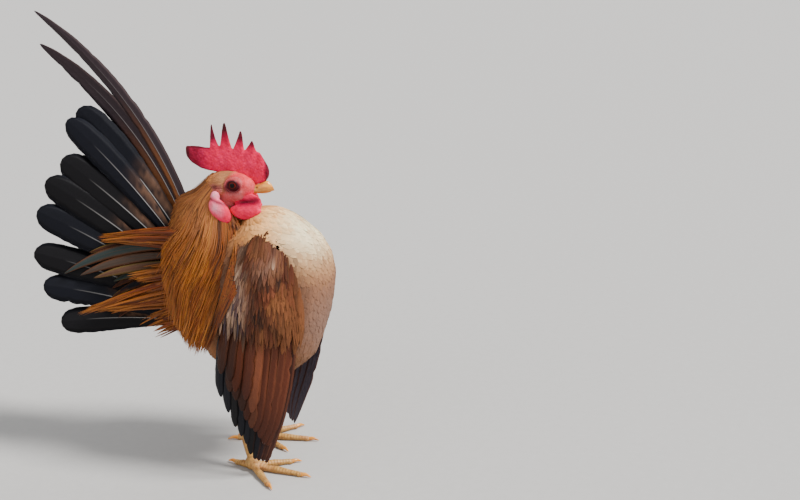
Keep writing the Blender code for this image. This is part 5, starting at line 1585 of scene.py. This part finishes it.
def make_materials():
    """Every finish, under the name that the builders use."""
    MATERIALS.update(
        skin=flesh_material("face_bare_skin", "#B04838", 0.9, 0.5, 0.35),
        comb=flesh_material("comb_moist_flesh", "#A01838", 1.1, 0.4, 0.5),
        lobe=flesh_material("lobe_moist_flesh", "#D86080", 1.0, 0.4, 0.3),
        down=feather_material("breast_soft_feather", 0.7, 0.12, "#E8C9A4", 0.03, 0.7, shine=0.12),
        hackle=feather_material("hackle_silky_feather", 0.6, 0.35, "#4A2410", 0.3, 0.45, shine=0.28),
        covert=feather_material("wing_covert_feather", 0.7, 0.22, "#5A3018", 0.06, 0.6, shine=0.18),
        flight=feather_material("wing_flight_feather", 0.9, 0.35, "#7A5236", 0.035, 0.55, shine=0.2),
        tail=feather_material("tail_glossy_feather", 1.0, 0.3, "#C4C0BC", 0.045, 0.55, gloss="#141722",
                              shine=0.14),
        beak=horn_material("beak_polished_horn", "#B87838", (0.4, 1, 1.6)),
        claw=horn_material("claw_worn_horn", "#A9825A", (0.5, 1, 1)),
        scutes=scute_material(),
        eye=eye_material(),
        floor=floor_material(),
    )


class SeramaColours(bpy.types.PropertyGroup):
    """The colours of skin, horn and feathers."""

    __annotations__ = {
        name: FloatVectorProperty(
            name=name.replace("_", " ").capitalize(), description=f"Colour of {use}", subtype="COLOR", min=0,
            max=1, default=tuple(linear(value)),
        )
        for name, (value, use) in COLOURS.items()
    }


class SeramaSizes(bpy.types.PropertyGroup):
    """How finely the coat is laid."""

    skin_voxel: FloatProperty(
        name="Skin grain", description="Size of the skin's faces", default=0.00078, min=0.0004, unit="LENGTH"
    )
    skin_depth: FloatProperty(
        name="Coat depth", description="How far the body's skin lies under the coat", default=0.0022,
        unit="LENGTH"
    )
    coat_gap: FloatProperty(
        name="Coat gap", description="Gap between small feathers, as a share of their length", default=0.155,
        min=0.1
    )
    coat_tries: IntProperty(
        name="Coat tries", description="Places tried for small feathers", default=130000, min=1000
    )
    hackle_gap: FloatProperty(
        name="Hackle gap", description="Gap between locks of the hackle", default=0.00055, min=0.0005,
        unit="LENGTH"
    )
    saddle_locks: IntProperty(
        name="Saddle locks", description="Locks of the saddle on each side", default=620, min=10
    )
    shoulder_feathers: IntProperty(
        name="Shoulder tries", description="Places tried for the wing's smallest feathers", default=6000,
        min=100
    )
    tail_coverts: IntProperty(
        name="Tail coverts", description="Small curved feathers on each side of the tail", default=16, min=3
    )


class SeramaStage(bpy.types.PropertyGroup):
    """The camera and the lights."""

    camera: FloatVectorProperty(
        name="Camera", description="Where the camera stands", default=(0.28208, -0.77501, 0.34563),
        subtype="TRANSLATION", unit="LENGTH",
    )
    target: FloatVectorProperty(
        name="Target", description="What the camera looks at", default=(0.07973, 0.02690, 0.13202),
        subtype="TRANSLATION", unit="LENGTH",
    )
    lens: FloatProperty(name="Lens", description="Focal length in millimetres", default=62.6, min=10,
                        unit="CAMERA")
    light: FloatProperty(name="Light", description="Strength of the lamps", default=1.0, min=0)


class SERAMA_OT_finishes(bpy.types.Operator):
    """Mixes the finishes from the colours"""

    bl_idname = "serama.finishes"
    bl_label = "Finishes"

    def execute(self, context):
        colours = context.scene.serama_colours
        PALETTE.update({name: np.array(getattr(colours, name)) for name in COLOURS})
        make_materials()
        return {"FINISHED"}


class SERAMA_OT_skin(bpy.types.Operator):
    """Makes one skin over body, neck, head and thighs"""

    bl_idname = "serama.skin"
    bl_label = "Skin"

    def execute(self, context):
        build_skin(context.scene.serama_sizes)
        return {"FINISHED"}


class SERAMA_OT_coat(bpy.types.Operator):
    """Lays the small feathers of head and body"""

    bl_idname = "serama.coat"
    bl_label = "Small feathers"

    def execute(self, context):
        build_coat(context.scene.serama_sizes)
        return {"FINISHED"}


class SERAMA_OT_wings(bpy.types.Operator):
    """Hangs both wings, row by row"""

    bl_idname = "serama.wings"
    bl_label = "Wings"

    def execute(self, context):
        for side in SIDES:
            build_wing(side, context.scene.serama_sizes)
        MADE["cover_tree"] = tree_of(*MADE["wing_right"], *MADE["wing_left"])
        return {"FINISHED"}


class SERAMA_OT_tail(bpy.types.Operator):
    """Raises the tail, its coverts and the two sickles"""

    bl_idname = "serama.tail"
    bl_label = "Tail"

    def execute(self, context):
        for side in SIDES:
            build_tail(side, context.scene.serama_sizes)
        return {"FINISHED"}


class SERAMA_OT_hackles(bpy.types.Operator):
    """Lays the hackles of neck and saddle"""

    bl_idname = "serama.hackles"
    bl_label = "Hackles"

    def execute(self, context):
        build_saddle(context.scene.serama_sizes)
        build_hackle(context.scene.serama_sizes)
        return {"FINISHED"}


class SERAMA_OT_comb(bpy.types.Operator):
    """Shapes comb, wattles and ear lobes"""

    bl_idname = "serama.comb"
    bl_label = "Comb, wattles and lobes"

    def execute(self, context):
        build_comb(context.scene.serama_sizes)
        build_wattles(context.scene.serama_sizes)
        return {"FINISHED"}


class SERAMA_OT_beak(bpy.types.Operator):
    """Shapes both halves of the beak"""

    bl_idname = "serama.beak"
    bl_label = "Beak"

    def execute(self, context):
        build_beak(context.scene.serama_sizes)
        return {"FINISHED"}


class SERAMA_OT_eyes(bpy.types.Operator):
    """Sets the eyes in their lids"""

    bl_idname = "serama.eyes"
    bl_label = "Eyes and lids"

    def execute(self, context):
        build_eyes(context.scene.serama_sizes)
        return {"FINISHED"}


class SERAMA_OT_legs(bpy.types.Operator):
    """Shapes shanks, feet, claws and spurs"""

    bl_idname = "serama.legs"
    bl_label = "Legs"

    def execute(self, context):
        for side in SIDES:
            build_leg(side, context.scene.serama_sizes)
        return {"FINISHED"}


class SERAMA_OT_stage(bpy.types.Operator):
    """Sets the floor, the lights and the camera"""

    bl_idname = "serama.stage"
    bl_label = "Floor, lights and camera"

    def execute(self, context):
        build_stage(context.scene.serama_stage)
        return {"FINISHED"}


STEPS = (
    SERAMA_OT_finishes, SERAMA_OT_skin, SERAMA_OT_coat, SERAMA_OT_wings, SERAMA_OT_tail, SERAMA_OT_hackles,
    SERAMA_OT_comb, SERAMA_OT_beak, SERAMA_OT_eyes, SERAMA_OT_legs, SERAMA_OT_stage,
)
GROUPS = {"serama_colours": SeramaColours, "serama_sizes": SeramaSizes, "serama_stage": SeramaStage}


class SERAMA_PT_bird(bpy.types.Panel):
    """Lists the pieces in the order they are made"""

    bl_idname = "SERAMA_PT_bird"
    bl_label = "Serama cock"
    bl_space_type = "VIEW_3D"
    bl_region_type = "UI"
    bl_category = "Serama"

    def draw(self, context):
        for step in STEPS:
            self.layout.operator(step.bl_idname)
        for group, kind in GROUPS.items():
            box = self.layout.box()
            for name in kind.__annotations__:
                box.prop(getattr(context.scene, group), name)


def register():
    for kind in (*GROUPS.values(), *STEPS, SERAMA_PT_bird):
        bpy.utils.register_class(kind)
    for name, kind in GROUPS.items():
        setattr(bpy.types.Scene, name, PointerProperty(type=kind))


def unregister():
    for name in GROUPS:
        delattr(bpy.types.Scene, name)
    for kind in (SERAMA_PT_bird, *reversed(STEPS), *GROUPS.values()):
        bpy.utils.unregister_class(kind)


def main():
    register()
    for step in STEPS:
        group, name = step.bl_idname.split(".")
        getattr(getattr(bpy.ops, group), name)()


if __name__ == "__main__":
    main()
